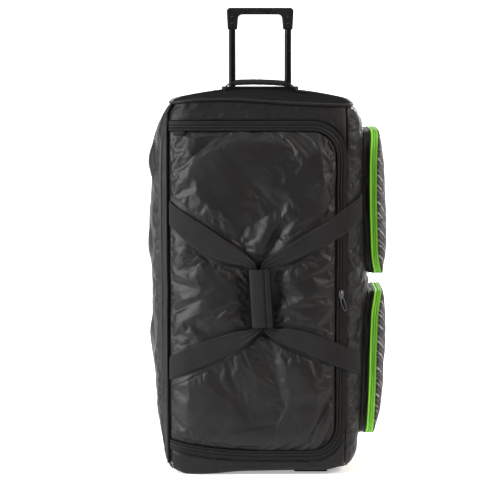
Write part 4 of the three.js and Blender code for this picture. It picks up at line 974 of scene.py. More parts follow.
across, up = grid(100, 205, True)
bearing, z = settle(crowd_ends(across), up,
                    lambda z: -BACK_SEAM_TURN + 0 * z, lambda z: seam_bearing(-1, z) - STRIP_TURN - GAP_TURN,
                    bottom_edge, top_edge)
panel("left_gusset", bearing, z, LEFT_CREASES, 1, SHELL, 37,
      simulate={"pressure": 1.2, "growth": 0.03, "cap": 2.6})

bearing, z = settle(crowd_ends(across), up,
                    lambda z: seam_bearing(1, z) + GAP_TURN, lambda z: BACK_SEAM_TURN + 0 * z,
                    bottom_edge, top_edge)


def under_pockets(points):
    nearest = np.full(points.shape[:-1], 1e3)
    for low, high in POCKETS.values():
        middle, tall = 0.5 * (low + high) * BAG_HEIGHT, 0.5 * (high - low) * BAG_HEIGHT
        gap = np.maximum(np.abs(points[..., 1] - POCKET_Y) - 0.5 * POCKET_WIDTH,
                         np.abs(points[..., 2] - middle) - tall)
        nearest = np.minimum(nearest, gap)
    straps = under_straps(points[..., 0], points[..., 2])
    ahead = smooth((-points[..., 1] - 120) / 20)
    return smooth((nearest - 2) / 10) * mix(1, straps, ahead)


panel("right_gusset", bearing, z, RIGHT_CREASES, 1, SHELL, 41, hold=under_pockets,
      simulate={"pressure": 1.2, "growth": 0.03, "cap": 3.5})


def block(name, low, high):
    """A plain box that only cuts others, and is removed after that."""
    corners = [(x, y, z) for x in (low[0], high[0]) for y in (low[1], high[1]) for z in (low[2], high[2])]
    faces = [(0, 1, 3, 2), (4, 6, 7, 5), (0, 4, 5, 1), (2, 3, 7, 6), (0, 2, 6, 4), (1, 5, 7, 3)]
    mesh = bpy.data.meshes.new(name)
    mesh.from_pydata(to_metres(corners).tolist(), [], faces)
    thing = bpy.data.objects.new(name, mesh)
    bpy.context.scene.collection.objects.link(thing)
    return thing


def cut(thing, *boxes):
    for index, (low, high) in enumerate(boxes):
        cutter = block(f"cutter_{index}", low, high)
        modifier = thing.modifiers.new("cut", "BOOLEAN")
        modifier.object = cutter
        modifier.operation = "DIFFERENCE"
        modifier.solver = "EXACT"
        evaluated = thing.evaluated_get(bpy.context.evaluated_depsgraph_get())
        made = bpy.data.meshes.new_from_object(evaluated)
        thing.modifiers.remove(modifier)
        thing.data = made
        mesh = cutter.data
        bpy.data.objects.remove(cutter)
        bpy.data.meshes.remove(mesh)


def weld(thing):
    mesh = bmesh.new()
    mesh.from_mesh(thing.data)
    bmesh.ops.remove_doubles(mesh, verts=mesh.verts, dist=1e-6)
    flat = [face for face in mesh.faces if face.calc_area() < 1e-14]
    bmesh.ops.delete(mesh, geom=flat, context="FACES_ONLY")
    mesh.to_mesh(thing.data)
    mesh.free()


def cad_box(node, grown=0.0):
    low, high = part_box(node)
    return np.array(low) * 1000 - OFFSET - grown, np.array(high) * 1000 - OFFSET + grown


def housing_cuts():
    boxes = []
    for node in ("left_wheel_housing", "right_wheel_housing"):
        low, high = cad_box(node, SEAM_GAP)
        boxes.append(((low[0], low[1], -60), (high[0], high[1] + 60, high[2])))
    return boxes


# Back panel, a little slack between the tubes
BACK_CREASES = [
    (-120, 600, 90, 14, 24, 2.2), (90, 560, 90, 14, -30, -2.2), (-60, 420, 100, 16, 34, -2.2),
    (110, 380, 90, 14, 20, 2.2), (-130, 260, 90, 14, -28, 2.2), (40, 240, 90, 14, 44, -2.0),
    (0, 680, 100, 12, 84, -2.2), (-20, 150, 100, 12, 80, 2.0), (150, 680, 60, 12, 30, -2.2),
]
turns = [BACK_SEAM_TURN, BACK_CORNER_TURN, 2 * np.pi - BACK_CORNER_TURN, 2 * np.pi - BACK_SEAM_TURN]
across, up = grid(110, 122, True)
across = (along_turns(turns, across) - turns[0]) / (turns[3] - turns[0])
bearing, z = settle(across, up,
                    lambda z: BACK_SEAM_TURN + GAP_TURN + 0 * z,
                    lambda z: 2 * np.pi - BACK_SEAM_TURN - GAP_TURN + 0 * z, bottom_edge, top_edge)
panel("back_panel", bearing, z, BACK_CREASES, 0, SHELL, 43)
cut(bpy.data.objects["back_panel_cloth"], *housing_cuts())

# Top panel, with soft slanted folds, and a slot for the tubes' bezel
TOP_CREASES = [
    (-110, -100, 60, 14, 50, 2.4), (-50, -120, 70, 14, 62, -2.4), (40, -130, 80, 15, 70, 2.2),
    (110, -80, 70, 14, 56, -2.4), (-140, 20, 60, 13, 20, -2.2), (140, 40, 60, 13, -20, 2.2),
    (-60, 20, 80, 16, 74, 2.0), (60, 30, 80, 16, 82, -2.0),
]
RIM_TURNS = [-FRONT_CORNER_TURN, FRONT_CORNER_TURN, BACK_CORNER_TURN,
             2 * np.pi - BACK_CORNER_TURN, 2 * np.pi - FRONT_CORNER_TURN]


turn, share = np.meshgrid(np.arange(170) / 170, 1 - (1 - np.linspace(0, 1, 34)) ** 1.3)
bearing = along_turns(RIM_TURNS, turn)
rim_x, rim_y, _, _ = outline_at(bearing, BAG_HEIGHT)
x, y = share * rim_x, share * rim_y
edge = smooth((1 - share) / 0.12)
calm = 1 - 0.8 * np.exp(-((y - 125) / 55) ** 2) * (np.abs(x) < 125)
rise = edge * calm * (creases(TOP_CREASES, x, y) + 0.8 * noise(x + 400, y + 400, 40, 51))
height = top_z(x, y) + TOP_WALL - 1.2 * (1 - edge) + np.clip(rise, -1.3, 3.5)
outer = np.stack([x, y, height], -1)
bearing = bearing[-1]
tuck = shell_point(bearing, top_edge(bearing) + SEAM_GAP, PIPING_OUT)
outer = np.concatenate([outer, [mix(outer[-1], tuck, 0.45)], [mix(outer[-1], tuck, 0.9)]])
x, y = outer[..., 0], outer[..., 1]
top = wall("top_panel_cloth", outer, outer - np.array([0, 0, 1.5]), TOP_CLOTH, "shell_cloth", ring=True,
           uv=np.stack([x + 400, y + 400], -1), replaces=("top_panel",))
weld(top)
low, high = cad_box("tube_bezel", SEAM_GAP)
cut(top, ((low[0], low[1], 600), (high[0], high[1], 900)))

# Piping along the left corner and round the top, a cord in a cloth sleeve
z = np.linspace(HEM_DROP, BAG_HEIGHT - 9, 400)
bearing = seam_bearing(-1, z) - 3 / FRONT_DEPTH
away = shell_normal(bearing, z)
path = shell_point(bearing, z, PIPING_OUT)
ripple = 1 + 0.05 * noise(z, 0 * z, 9, 61)
tube("left_piping_cord", path, path_frames(path, away), PIPING_RADIUS * ripple, 10, BORDER, "border_cloth",
     replaces=("left_piping",))
bearing = along_turns(RIM_TURNS, np.arange(420) / 420)
z = top_edge(bearing) + SEAM_GAP
away = shell_normal(bearing, z)
path = shell_point(bearing, z, PIPING_OUT)
tube("top_piping_cord", path, path_frames(path, away, True), PIPING_RADIUS, 10, BORDER, "border_cloth",
     joined=True, replaces=("top_piping",))


# Carry straps
def carry_strap(name, rows):
    count, columns = 260, 17
    table, share = by_share(rows), np.linspace(0, 1, count)
    x, z, width, lift = strap_line(rows, count)
    along_x, along_z = np.gradient(x), np.gradient(z)
    size = np.hypot(along_x, along_z)
    along_x, along_z = along_x / size, along_z / size
    upright = smooth(1 - np.minimum(share, 1 - share) / 0.14)
    cross_x = mix(along_z, 0, upright)
    cross_z = mix(-along_x, -np.sign(along_x), upright)
    aside = np.linspace(-0.5, 0.5, columns)
    grid_x = x[:, None] + cross_x[:, None] * aside * width[:, None]
    grid_z = z[:, None] + cross_z[:, None] * aside * width[:, None]
    narrow = smooth((0.85 - follow(table, 3, share)) / 0.5)[:, None]
    gather = narrow * (1.1 * np.cos(aside * 2 * np.pi * 2.5)[None] - 0.2)
    edge = -0.7 * smooth((np.abs(aside) - 0.43) / 0.07)[None]
    length = run_of(np.stack([x, z], -1))
    sway = 0.5 * noise(length[:, None] + 0 * aside, 60 * aside[None] + 0 * length[:, None], 38, 71)
    base = STRAP_LIFT + lift[:, None] + gather + sway * (1 - narrow)
    bearing = front_bearing(grid_x, grid_z)
    outer = shell_point(bearing, grid_z, base + WEBBING_WALL + edge)
    inner = shell_point(bearing, grid_z, base - 0.3 * edge)
    uv = np.stack(np.broadcast_arrays((aside + 0.5)[None] * WEBBING_WIDTH, length[:, None]), -1)
    thing = wall(name + "_webbing", outer, inner, WEBBING, "webbing", uv=uv, replaces=(name,))
    normal = shell_normal(bearing, grid_z)
    wide = (follow(table, 3, share) > 0.6)
    for column in (1, columns - 2):
        for part in np.split(np.arange(count), np.nonzero(np.diff(wide.astype(int)))[0] + 1):
            if wide[part[0]] and len(part) > 8:
                stitches(outer[part, column], normal[part, column], group="strap")
    return outer, normal


def box_stitch(outer, normal, start, end):
    """A crossed box of stitches that holds the end of a strap."""
    columns = outer.shape[1]
    for first, last in (((start, 2), (end, columns - 3)), ((start, columns - 3), (end, 2)),
                        ((end, 2), (end, columns - 3)), ((start, 2), (start, columns - 3))):
        steps = 24
        row = np.round(np.linspace(first[0], last[0], steps)).astype(int)
        column = np.round(np.linspace(first[1], last[1], steps)).astype(int)
        stitches(outer[row, column], normal[row, column], group="strap")


straps = [carry_strap("left_carry_strap", LEFT_STRAP), carry_strap("right_carry_strap", RIGHT_STRAP)]
for outer, normal in straps:
    box_stitch(outer, normal, 4, 22)
    box_stitch(outer, normal, len(outer) - 23, len(outer) - 5)


# The wrap round both straps: a padded sleeve that closes along a groove in front
def grip_point(share, turn, inset):
    z = GRIP_HEIGHT + share * GRIP_LENGTH
    squash = lambda value: np.sign(value) * np.abs(value) ** 0.75
    groove = np.exp(-((np.mod(turn - 1.22 + np.pi, 2 * np.pi) - np.pi) / 0.13) ** 2)
    ends = smooth((0.5 - np.abs(share)) / 0.04)
    body = inset + 3.8 * groove * (inset < 1) + 1.0 * (1 - ends)
    x = -GRIP_LEAN * 2 * share + (0.5 * GRIP_WIDTH - body) * squash(np.cos(turn))
    half = 0.5 * GRIP_THICKNESS
    out = GRIP_ROOM + half + (half - body) * squash(np.sin(turn))
    return shell_point(front_bearing(x, z), z, out)


turn, share = np.meshgrid(np.arange(84) / 84 * 2 * np.pi, np.linspace(-0.5, 0.5, 58))
puff = 0.35 * noise(turn * 12, share * GRIP_LENGTH, 9, 81)
outer = grip_point(share, turn, 0.2 - puff * 0.6)
inner = grip_point(share, turn, 2.3)
wall("grip_wrap_sleeve", outer, inner, WEBBING, "webbing", ring=True,
     uv=np.stack([turn * 19, (share + 0.5) * GRIP_LENGTH], -1), replaces=("grip_wrap",))
for place in (1.0, 1.44):
    line = grip_point(np.linspace(-0.47, 0.47, 60), np.full(60, place), 0.0)
    stitches(line, np.array([0, -1.0, 0.0]), pitch=3.6, size=2.6, group="grip")


# Grab handle on the top: webbing with a rolled middle in a sewn wrap
GRAB = np.array([
    (-1.3, 0, 1, 0.37), (-1.14, 0, 1, 0.37), (-1.02, 0.1, 0.98, 0.37), (-0.96, 0.42, 0.8, 0.4),
    (-0.88, 0.76, 0.5, 0.5), (-0.74, 0.94, 0.24, 0.6), (-0.4, 1, 0.22, 0.6), (0, 1, 0.22, 0.6),
    (0.4, 0.99, 0.22, 0.6), (0.74, 0.92, 0.24, 0.6), (0.88, 0.72, 0.5, 0.5), (0.96, 0.4, 0.8, 0.4),
    (1.02, 0.1, 0.98, 0.37), (1.14, 0, 1, 0.37), (1.3, 0, 1, 0.37),
])


def grab_line(count):
    table, share = by_share(GRAB), np.linspace(0, 1, count)
    x = 0.5 * GRAB_SPAN * follow(table, 1, share)
    thick = GRAB_WRAP_RADIUS * follow(table, 4, share)
    floor = top_z(x, GRAB_Y) + TOP_WALL + 3 * SEAM_GAP
    z = floor + 0.5 * thick + follow(table, 2, share) * GRAB_RISE
    return x, z, GRAB_WEBBING * follow(table, 3, share), thick


x, z, width, thick = grab_line(150)
along = np.stack([np.gradient(x), np.gradient(z)], -1)
along = along / np.linalg.norm(along, axis=1, keepdims=True)
turn = (np.arange(20) + 0.5) / 20 * 2 * np.pi
square = lambda value: np.sign(value) * np.abs(value) ** 0.45
out = 0.5 * thick[:, None] * square(np.sin(turn))[None]
y = GRAB_Y + 0.5 * width[:, None] * square(np.cos(turn))[None] + 0 * x[:, None]
points = np.stack([x[:, None] - along[:, 1:] * out, y, z[:, None] + along[:, :1] * out], -1)
faces = closed_faces(points.reshape(-1, 3), *points.shape[:2])
length = run_of(np.stack([x, z], -1))
uv = np.stack(np.broadcast_arrays((turn / 2 / np.pi * 2 * GRAB_WEBBING)[None], length[:, None]), -1)
make_object("grab_handle_webbing", points.reshape(-1, 3), faces, WEBBING, "webbing",
            uv=uv.reshape(-1, 2), replaces=("grab_handle",))
for side in (-1, 1):
    for offset in (-11, 11):
        ends = np.abs(x) > 0.5 * GRAB_SPAN * 1.05
        rows = np.nonzero(ends & (np.sign(x) == side))[0]
        line = np.stack([x[rows], GRAB_Y + offset + 0 * x[rows], z[rows] + 0.5 * thick[rows]], -1)
        stitches(line, np.array([0, 0, 1.0]), pitch=3.6, size=2.6, group="grab")

turn, share = np.meshgrid(np.arange(40) / 40 * 2 * np.pi, np.linspace(-0.5, 0.5, 90))
wrap_x = share * GRAB_WRAP_LENGTH
wrap_z = np.interp(wrap_x, x, z)
seam = 0.7 * np.exp(-((turn - 4.0) / 0.16) ** 2)
creased = 0.22 * noise(turn * 6, wrap_x, 7, 91)
outer_radius = GRAB_WRAP_RADIUS - 0.3 - seam + creased - 0.8 * smooth((np.abs(share) - 0.485) / 0.015)
ring_of = lambda radius: np.stack([
    wrap_x, GRAB_Y + radius * np.cos(turn), wrap_z + radius * np.sin(turn)], -1)
wall("grab_wrap_sleeve", ring_of(outer_radius), ring_of(GRAB_WRAP_RADIUS - 1.7 + 0 * turn), WEBBING,
     "webbing", ring=True, uv=np.stack([turn * GRAB_WRAP_RADIUS, wrap_x], -1), replaces=("grab_wrap",))


# Lid zip: a bound edge, the coil and a flat tape, then the seam
def zip_line(grown):
    """Points (x, z) along the zip at a distance from the lid's edge."""
    flat_x = np.linspace(1 - FRONT_SEAM, CORNER_X, 260)
    bend = np.linspace(0, 0.5 * np.pi, 44)
    upright = np.linspace(LID_TOP - LID_CORNER, LID_BOTTOM + LID_CORNER, 320)
    reach = LID_CORNER + grown
    top = np.stack([flat_x[:-1], LID_TOP + grown + 0 * flat_x[:-1]], -1)
    high = np.stack([CORNER_X + reach * np.sin(bend), LID_TOP - LID_CORNER + reach * np.cos(bend)], -1)
    side = np.stack([CORNER_X + reach + 0 * upright[1:-1], upright[1:-1]], -1)
    low = np.stack([CORNER_X + reach * np.cos(bend), LID_BOTTOM + LID_CORNER - reach * np.sin(bend)], -1)
    back_x = flat_x[::-1][1:]
    bottom = np.stack([back_x, contour_bottom(back_x, 0) - grown], -1)
    return np.concatenate([top, high, side, low, bottom])


ZIP_PROFILE = np.array([
    (0.3, 1.2), (1.0, 2.3), (2.4, 2.7), (4.2, 2.5), (5.4, 1.6), (6.4, 0.7), (7.6, 0.6), (9.0, 0.6),
    (10.6, 0.6), (11.8, 0.9), (12.6, 1.7), (14.0, 2.0), (16.0, 1.7), (17.4, 1.6), (18.4, 2.2),
    (19.6, 2.4), (20.6, 1.7), (21.0, 1.0),
])
lines = np.stack([zip_line(grown) for grown in ZIP_PROFILE[:, 0]], 1)
bearing = front_bearing(lines[..., 0], lines[..., 1])
length = run_of(lines[:, 8])
wave = 0.35 * noise(*np.broadcast_arrays(length[:, None], 3 * ZIP_PROFILE[:, 0]), 17, 101)
ends = smooth(np.minimum(length, length[-1] - length) / 6)[:, None]
outer = shell_point(bearing, lines[..., 1], np.maximum(ZIP_PROFILE[:, 1][None] + wave * ends, 0.35))
inner = shell_point(bearing, lines[..., 1], 0 * bearing)
uv = np.stack(np.broadcast_arrays(ZIP_PROFILE[:, 0][None], length[:, None]), -1)
wall("lid_zip_tape", outer, inner, TAPE, "zip_tape", uv=uv, replaces=("lid_zip",))
for column in (3, 13, 16):
    normal = shell_normal(bearing[:, column], lines[:, column, 1])
    stitches(outer[:, column], normal, pitch=3.8, size=2.7, radius=0.28, group="zip")


def coil(name, path, away, radius, pitch, material, slot):
    """A zip's coil as a beaded cord, three rings to a turn."""
    length = run_of(path)
    stops = np.arange(0, length[-1], pitch / 3)
    fine = read_at(stops, length, path)
    frames = path_frames(fine, read_at(stops, length, away))
    beads = np.where(np.arange(len(fine)) % 3 == 1, 1.12, 0.8)
    tube(name, fine, frames, radius * beads, 8, material, slot, squash=0.72)


line = zip_line(9.1)
bearing = front_bearing(line[:, 0], line[:, 1])
path = shell_point(bearing, line[:, 1], 1.0)
coil("lid_zip_coil", path, shell_normal(bearing, line[:, 1]), 2.1, 2.1, COIL, "zip_tape")


def rounded_solid(name, middle, frames, profile, depth, material, slot, node, bevel=0.8):
    """A rounded plate: a flat profile pushed out along its normal, with softened edges."""
    across, up, away = frames
    count = len(profile)
    points = [middle + across * px + up * pz + away * out for out in (0, depth) for px, pz in profile]
    faces = [list(range(count))[::-1], [count + index for index in range(count)]]
    faces += [[index, after % count, count + after % count, count + index]
              for index, after in zip(range(count), range(1, count + 1))]
    soften(make_object(name, points, faces, material, slot, replaces=(node,)), bevel)


def soften(thing, width, segments=3):
    modifier = thing.modifiers.new("edges", "BEVEL")
    modifier.width = width / 1000
    modifier.segments = segments
    modifier.limit_method = "ANGLE"
    modifier.angle_limit = math.radians(35)
    modifier.harden_normals = True


# Slider with its bridge, and a wire pull that hangs a little to the right
slider_x = LID_RIGHT + 9.4
slider_bearing = front_bearing(slider_x, SLIDER_HEIGHT)
away = shell_normal(slider_bearing, SLIDER_HEIGHT)
middle = shell_point(slider_bearing, SLIDER_HEIGHT, 2.6)
across = np.array([-away[1], away[0], 0.0])
up = np.array([0, 0, 1.0])
body = [(-3.6, 8.2), (-5.4, 5.0), (-5.0, -3), (-3.4, -8.6), (3.4, -8.6), (5.0, -3), (5.4, 5.0), (3.6, 8.2)]
rounded_solid("zip_slider_body", middle, (across, up, away), body, 2.4, METAL, "bright_metal", "zip_slider")
stops = np.linspace(0, 1, 24)
arch = np.array([middle + up * mix(6.4, -6.6, s) + away * (1.8 + 2.6 * math.sin(math.pi * s)) for s in stops])
tube("zip_slider_bridge", arch, path_frames(arch, np.broadcast_to(away, arch.shape)), 0.95, 8,
     METAL, "bright_metal", squash=1.8)
turn = np.arange(72) / 72 * 2 * np.pi
down = 0.5 * 30 * (1 - np.cos(turn))
pull_x = slider_x + 0.3 * down + 0.5 * 8.5 * np.sin(turn) * (0.75 + 0.25 * np.sin(0.5 * turn))
pull_z = SLIDER_HEIGHT - 5 - down
bearing = front_bearing(pull_x, pull_z)
lift = 3.6 + 1.8 * np.exp(-((down - 2) / 5) ** 2)
path = shell_point(bearing, pull_z, lift)
tube("zip_pull_wire", path, path_frames(path, shell_normal(bearing, pull_z), True), 0.85, 10,
     METAL, "bright_metal", joined=True, replaces=("zip_pull",))

# A small folded tab of tape where the lid's zip starts: a dark piece put in as painted shade for the shadow
# in the gap under the zip's end
shade_tab_z = np.linspace(LID_TOP - 9, LID_TOP + 1, 14)
shade_tab_x = np.linspace(-177, -155, 22)
shade_tab_x, shade_tab_z = np.meshgrid(shade_tab_x, shade_tab_z)
bearing = front_bearing(shade_tab_x, shade_tab_z)
pad = 1.5 + 1.6 * np.minimum.reduce([np.ones(shade_tab_x.shape), (shade_tab_x + 177) / 2, (-155 - shade_tab_x) / 2,
                                     (shade_tab_z - LID_TOP + 9) / 2])
# This dark tab stands in for a shadow, so it is painted shade rather than a part of the bag
wall("zip_end_shade_tab", shell_point(bearing, shade_tab_z, 1.6 + pad), shell_point(bearing, shade_tab_z, 0.4 + 0 * pad), TAPE,
     "zip_tape", uv=np.stack([shade_tab_x + 200, shade_tab_z], -1))


# Pockets on the right side
def pocket_outline(low, high, inset, count=60):
    """Places (y, z) round a pocket's rim, evenly spread, and its middle height."""
    wide = 0.5 * POCKET_WIDTH - POCKET_CORNER
    tall = 0.5 * (high - low) * BAG_HEIGHT - POCKET_CORNER
    middle = 0.5 * (low + high) * BAG_HEIGHT
    reach = POCKET_CORNER - inset
    points = []
    for index, (side, rise) in enumerate(((1, 1), (-1, 1), (-1, -1), (1, -1))):
        turn = 0.5 * np.pi * (index + np.linspace(0, 1, 40))
        points.append(np.stack([POCKET_Y + side * wide + reach * np.cos(turn),
                                middle + rise * tall + reach * np.sin(turn)], -1))
    loop = looped(np.concatenate(points))
    length = run_of(loop)
    y, z = read_at(np.linspace(0, length[-1], count, endpoint=False), length, loop).T
    return y, z, middle, length[-1]


def side_point(y, z, out):
    return shell_point(side_bearing(1, y, z), z, out)


def pocket(name, low, high, seed):
    count = 392
    wall_top = POCKET_LIFT + POCKET_WALL
    zip_low, zip_top = wall_top + SEAM_GAP, wall_top + SEAM_GAP + POCKET_ZIP
    y, z, middle, around = pocket_outline(low, high, 0, count)
    stops = np.arange(count) / count * around

    def ring(profile, inset_inner, wobble):
        rows = len(profile)
        stand = np.array([height for height, _ in profile])[:, None]
        inset = np.array([inward for _, inward in profile])[:, None]
        share_y, share_z = (y - POCKET_Y), (z - middle)
        size = np.hypot(share_y, share_z)
        gentle = wobble * noise(stops[None] + 0 * stand, 4 * stand + 0 * stops[None], 24, seed)
        gentle = gentle * np.sin(np.pi * np.arange(rows) / (rows - 1))[:, None]
        pull = inset + gentle
        outer_y = y[None] - pull * (share_y / size)[None]
        outer_z = z[None] - pull * (share_z / size)[None]
        inner_y = y[None] - inset_inner * (share_y / size)[None] + 0 * pull
        inner_z = z[None] - inset_inner * (share_z / size)[None] + 0 * pull
        stand = np.broadcast_to(stand, outer_y.shape)
        uv = np.stack(np.broadcast_arrays(stand, stops[None]), -1)
        return side_point(outer_y, outer_z, stand), side_point(inner_y, inner_z, stand), uv

    profile = [(POCKET_LIFT + step, 0.5 + 1.1 * math.sin(math.pi * step / POCKET_WALL)) for step in
               np.linspace(0, POCKET_WALL, 12)]
    outer, inner, uv = ring(profile, 2.9, 1.2)
    wall(name + "_wall_cloth", outer, inner, BORDER, "border_cloth", ring=True, uv=uv,
         replaces=(name + "_wall",))
    away = pocket_away(y, z, middle)
    for row in (1, 10):
        stitches(looped(outer[row]), away, pitch=4.4, group="pocket")

    ribs = [(0.0, 0.6), (0.6, 0.1), (1.6, -0.2), (2.8, 0.1), (3.6, 0.7), (4.4, 0.3), (5.4, 0.7), (6.2, 1.4),
            (7.8, 1.5), (9.3, 1.4), (10.1, 0.7), (11.1, 0.3), (11.9, 0.7), (12.7, 0.1), (13.9, -0.2),
            (14.9, 0.1), (15.5, 0.6)]
    outer, inner, uv = ring([(zip_low + rise, inward) for rise, inward in ribs], 2.6, 0.25)
    wall(name + "_zip_tape", outer, inner, GREEN, "green_tape", ring=True, uv=uv, replaces=(name + "_zip",))
    coil(name + "_zip_coil", looped(outer[8]), away, 1.75, 2.1, GREEN_COIL, "green_tape")

    share = 1 - (1 - np.linspace(0, 1, 46)) ** 1.2
    turn_y, turn_z = y[None, ::2], z[None, ::2]
    share = share[:, None]
    face_y, face_z = mix(POCKET_Y, turn_y, share), mix(middle, turn_z, share)
    dome = POCKET_DOME * (1 - share ** 2.6)
    puff = smooth((1 - share) / 0.12)
    broad, small = noise(face_y + 300, face_z, 42, seed + 5), noise(face_y + 300, face_z, 17, seed + 6)
    folds = puff * (broad + 0.5 * small)
    rim = -0.9 * (1 - smooth((1 - share) / 0.03))
    stand = zip_top + SEAM_GAP + dome
    outer = side_point(face_y, face_z, stand + 2 + folds + rim)
    inner = side_point(face_y, face_z, stand + 0.2 + folds)
    uv = np.stack([face_y + 300, face_z], -1)
    thing = wall(name + "_face_cloth", outer, inner, STRIPED, "striped_cloth", ring=True, uv=uv,
                 replaces=(name + "_face",))
    weld(thing)
    edge_away = shell_normal(side_bearing(1, face_y[-3], face_z[-3]), face_z[-3])
    stitches(looped(outer[-3]), looped(edge_away), pitch=4.4, group="pocket")


def pocket_away(y, z, middle):
    flat = np.stack([0 * y, y - POCKET_Y, z - middle], -1)
    return looped(unit(flat))


for index, (name, (low, high)) in enumerate(POCKETS.items()):
    pocket(name, low, high, 120 + 20 * index)

finish_stitches(THREAD, "webbing")


# Hard parts: the CAD solids stay, with softened edges and better materials
def dress(nodes, material, bevel=None, segments=2):
    for node in nodes:
        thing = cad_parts[node]
        thing.data.materials.clear()
        thing.data.materials.append(material)
        if bevel:
            soften(thing, bevel, segments)


dress(["trolley_grip"], PLASTIC, 1.2, 3)
dress(["tube_bezel", "guide_bracket", "left_wheel_housing", "right_wheel_housing", "left_front_foot",
       "right_front_foot"], PLASTIC, 0.9)
dress(["base_panel"], PLASTIC)
dress(["left_guide_tube", "right_guide_tube", "left_trolley_tube", "right_trolley_tube"], TUBING)
dress(["left_axle", "right_axle"], METAL)


def lathe(name, profile, sides, middle, material, slot, body, node):
    """Turns a closed profile of (radius, x) about the wheel's axle."""
    turn = np.arange(sides) / sides * 2 * np.pi
    points = np.array([[middle[0] + x, middle[1] + radius * np.cos(angle), middle[2] + radius * np.sin(angle)]
                       for angle in turn for radius, x in profile])
    faces = closed_faces(points, sides, len(profile), capped=False)
    soften(make_object(name, points, faces, material, slot, body=body, replaces=(node,)), 0.5, 2)


def both_halves(profile):
    return profile + [(radius, -along) for radius, along in reversed(profile)]


def wheel(name, side):
    middle = (side * WHEEL_X, WHEEL_Y, WHEEL_RADIUS)
    half, rim = 0.5 * WHEEL_WIDTH, WHEEL_RADIUS - 11
    shoulder, groove = WHEEL_RADIUS - 0.9, WHEEL_RADIUS - 1.3
    tread = [(rim, -half), (WHEEL_RADIUS - 3.2, -half), (shoulder, -half + 1.4), (WHEEL_RADIUS, -half + 3.6),
             (WHEEL_RADIUS, -4.6), (groove, -4.0), (groove, -2.6), (WHEEL_RADIUS, -2.0)]
    lathe(name + "_tread", both_halves(tread), 96, middle, RUBBER, "wheel_rubber", name, name + "_tyre")
    bore, seat, web = 4.4, rim - SEAM_GAP, 0.45 * half
    hub = [(bore, -half), (2.1 * bore, -half), (2.35 * bore, -half + 1), (2.5 * bore, -web),
           (0.82 * seat, -web), (0.9 * seat, -half + 1.2), (seat, -half)]
    lathe(name + "_centre", both_halves(hub), 72, middle, PLASTIC, "hard_plastic", name, name + "_hub")


wheel("left_wheel", -1)
wheel("right_wheel", 1)

# The tray at the foot of the back, with ribs pressed into it
turns = [2.1, BACK_CORNER_TURN, 2 * np.pi - BACK_CORNER_TURN, 2 * np.pi - 2.1]
across, up = grid(140, 26)
bearing = along_turns(turns, across)
ends = smooth(6 * np.minimum(across, 1 - across))
z = mix(TRAY_LIFT, mix(0.55, 1, ends) * 104, up)
x_at, _, _, _ = outline_at(bearing, z)
rib = 0.9 * np.exp(-((np.mod(z, 16) - 8) / 2.0) ** 2) * smooth((95 - np.abs(x_at)) / 8) * smooth((z - 12) / 8)
edge = 0.8 * (1 - smooth(np.minimum(up, 1 - up) / 0.06))
tray = wall("back_tray_shell", shell_point(bearing, z, 2 + 2.6 - rib - edge),
            shell_point(bearing, z, 2 + 0 * z), PLASTIC, "hard_plastic", replaces=("back_tray",))
cut(tray, *housing_cuts())

# Rivets that hold the grip on its tubes, as rings of (radius, out)
rings = [(2.9, 0.1), (2.9, -0.5), (2.5, -1.0), (1.4, -1.35), (0.35, -1.45)]
turn = np.arange(24) / 24 * 2 * np.pi
grip_front = cad_box("trolley_grip")[0][1]
for side, label in ((-1, "left"), (1, "right")):
    x = side * 0.5 * TUBE_SPACING
    for index, height in enumerate((GRIP_TOP - 20, GRIP_TOP - 34)):
        points = np.array([[x + radius * math.cos(a), grip_front + out, height + radius * math.sin(a)]
                           for radius, out in rings for a in turn])
        faces = closed_faces(points, len(rings), len(turn))
        make_object(f"{label}_rivet_{index}", points, faces, DARK_METAL, "bright_metal",
                    body="trolley_handle")


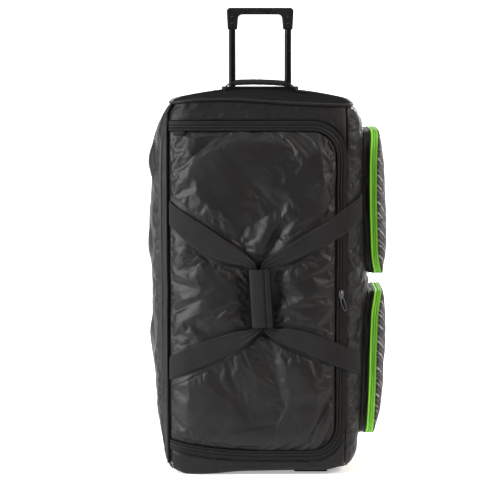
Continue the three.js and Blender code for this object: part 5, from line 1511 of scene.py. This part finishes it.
# Floor, light and camera
def stage_floor():
    """A pale floor that curves up into a wall, darker in front and glowing behind the bag."""
    n = Nodes("studio_floor")
    parts = n.add("ShaderNodeSeparateXYZ")
    n.link(n.place("Object"), parts.inputs[0])
    depth = parts.outputs["Y"]
    pale = n.span(depth, 0.5, 0.86, -1.3, -0.4)
    material = n.finish(pale, 0.9, None, Emission_Color=(1, 1, 1, 1), Specular_IOR_Level=0.0)
    n.link(n.span(depth, 0.02, 1.1, -1.0, 1.6), n.shader.inputs["Emission Strength"])
    width, near, far, tall, radius = 9.0, -7.0, 7.0, 6.0, 2.0
    section = [(near, 0.0), (far - radius, 0.0)]
    section += [(far - radius + radius * math.sin(a), radius - radius * math.cos(a))
                for a in np.linspace(0, 0.5 * math.pi, 16)[1:]]
    section.append((far, tall))
    points = [(x, y, z) for y, z in section for x in (-width, width)]
    faces = [[2 * index, 2 * index + 1, 2 * index + 3, 2 * index + 2] for index in range(len(section) - 1)]
    mesh = bpy.data.meshes.new("floor")
    mesh.from_pydata(points, [], faces)
    mesh.polygons.foreach_set("use_smooth", [True] * len(faces))
    mesh.materials.append(material)
    floor = bpy.data.objects.new("floor", mesh)
    bpy.context.scene.collection.objects.link(floor)


def area_light(name, place, target, size, power, colour=(1, 1, 1)):
    data = bpy.data.lights.new(name, "AREA")
    data.shape = "RECTANGLE"
    data.size, data.size_y = size
    data.energy = power
    data.color = colour
    light = bpy.data.objects.new(name, data)
    bpy.context.scene.collection.objects.link(light)
    light.location = place
    aim(light, target)


def aim(thing, target):
    direction = Vector(target) - Vector(thing.location)
    thing.rotation_mode = "QUATERNION"
    thing.rotation_quaternion = direction.to_track_quat("-Z", "Y")


stage_floor()
world = bpy.data.worlds.new("studio")
bpy.context.scene.world = world
world.use_nodes = True
world.node_tree.nodes["Background"].inputs["Color"].default_value = (1, 1, 1, 1)
world.node_tree.nodes["Background"].inputs["Strength"].default_value = 0.05
area_light("left_softbox", (-2.4, -1.35, 1.2), (0, 0, 0.45), (0.8, 1.9), 150, (1.0, 1.0, 1.0))
area_light("right_softbox", (2.7, -1.3, 2.0), (0, 0, 0.7), (0.7, 1.2), 100, (1.0, 0.9, 0.8))
area_light("top_softbox", (0.0, -0.5, 3.0), (0, 0.3, 0.0), (2.4, 1.6), 30)
area_light("back_softbox", (1.6, 3.4, 1.6), (0, 0, 0.45), (0.9, 1.6), 70)

camera_data = bpy.data.cameras.new("camera")
camera = bpy.data.objects.new("camera", camera_data)
bpy.context.scene.collection.objects.link(camera)
camera_data.lens = 142.0
camera_data.sensor_width = 36
camera.location = (-0.0379, -4.1737, 0.92)
aim(camera, (-0.0379, -0.1737, 0.4725))
bpy.context.scene.camera = camera
bpy.context.scene.view_settings.view_transform = "Standard"
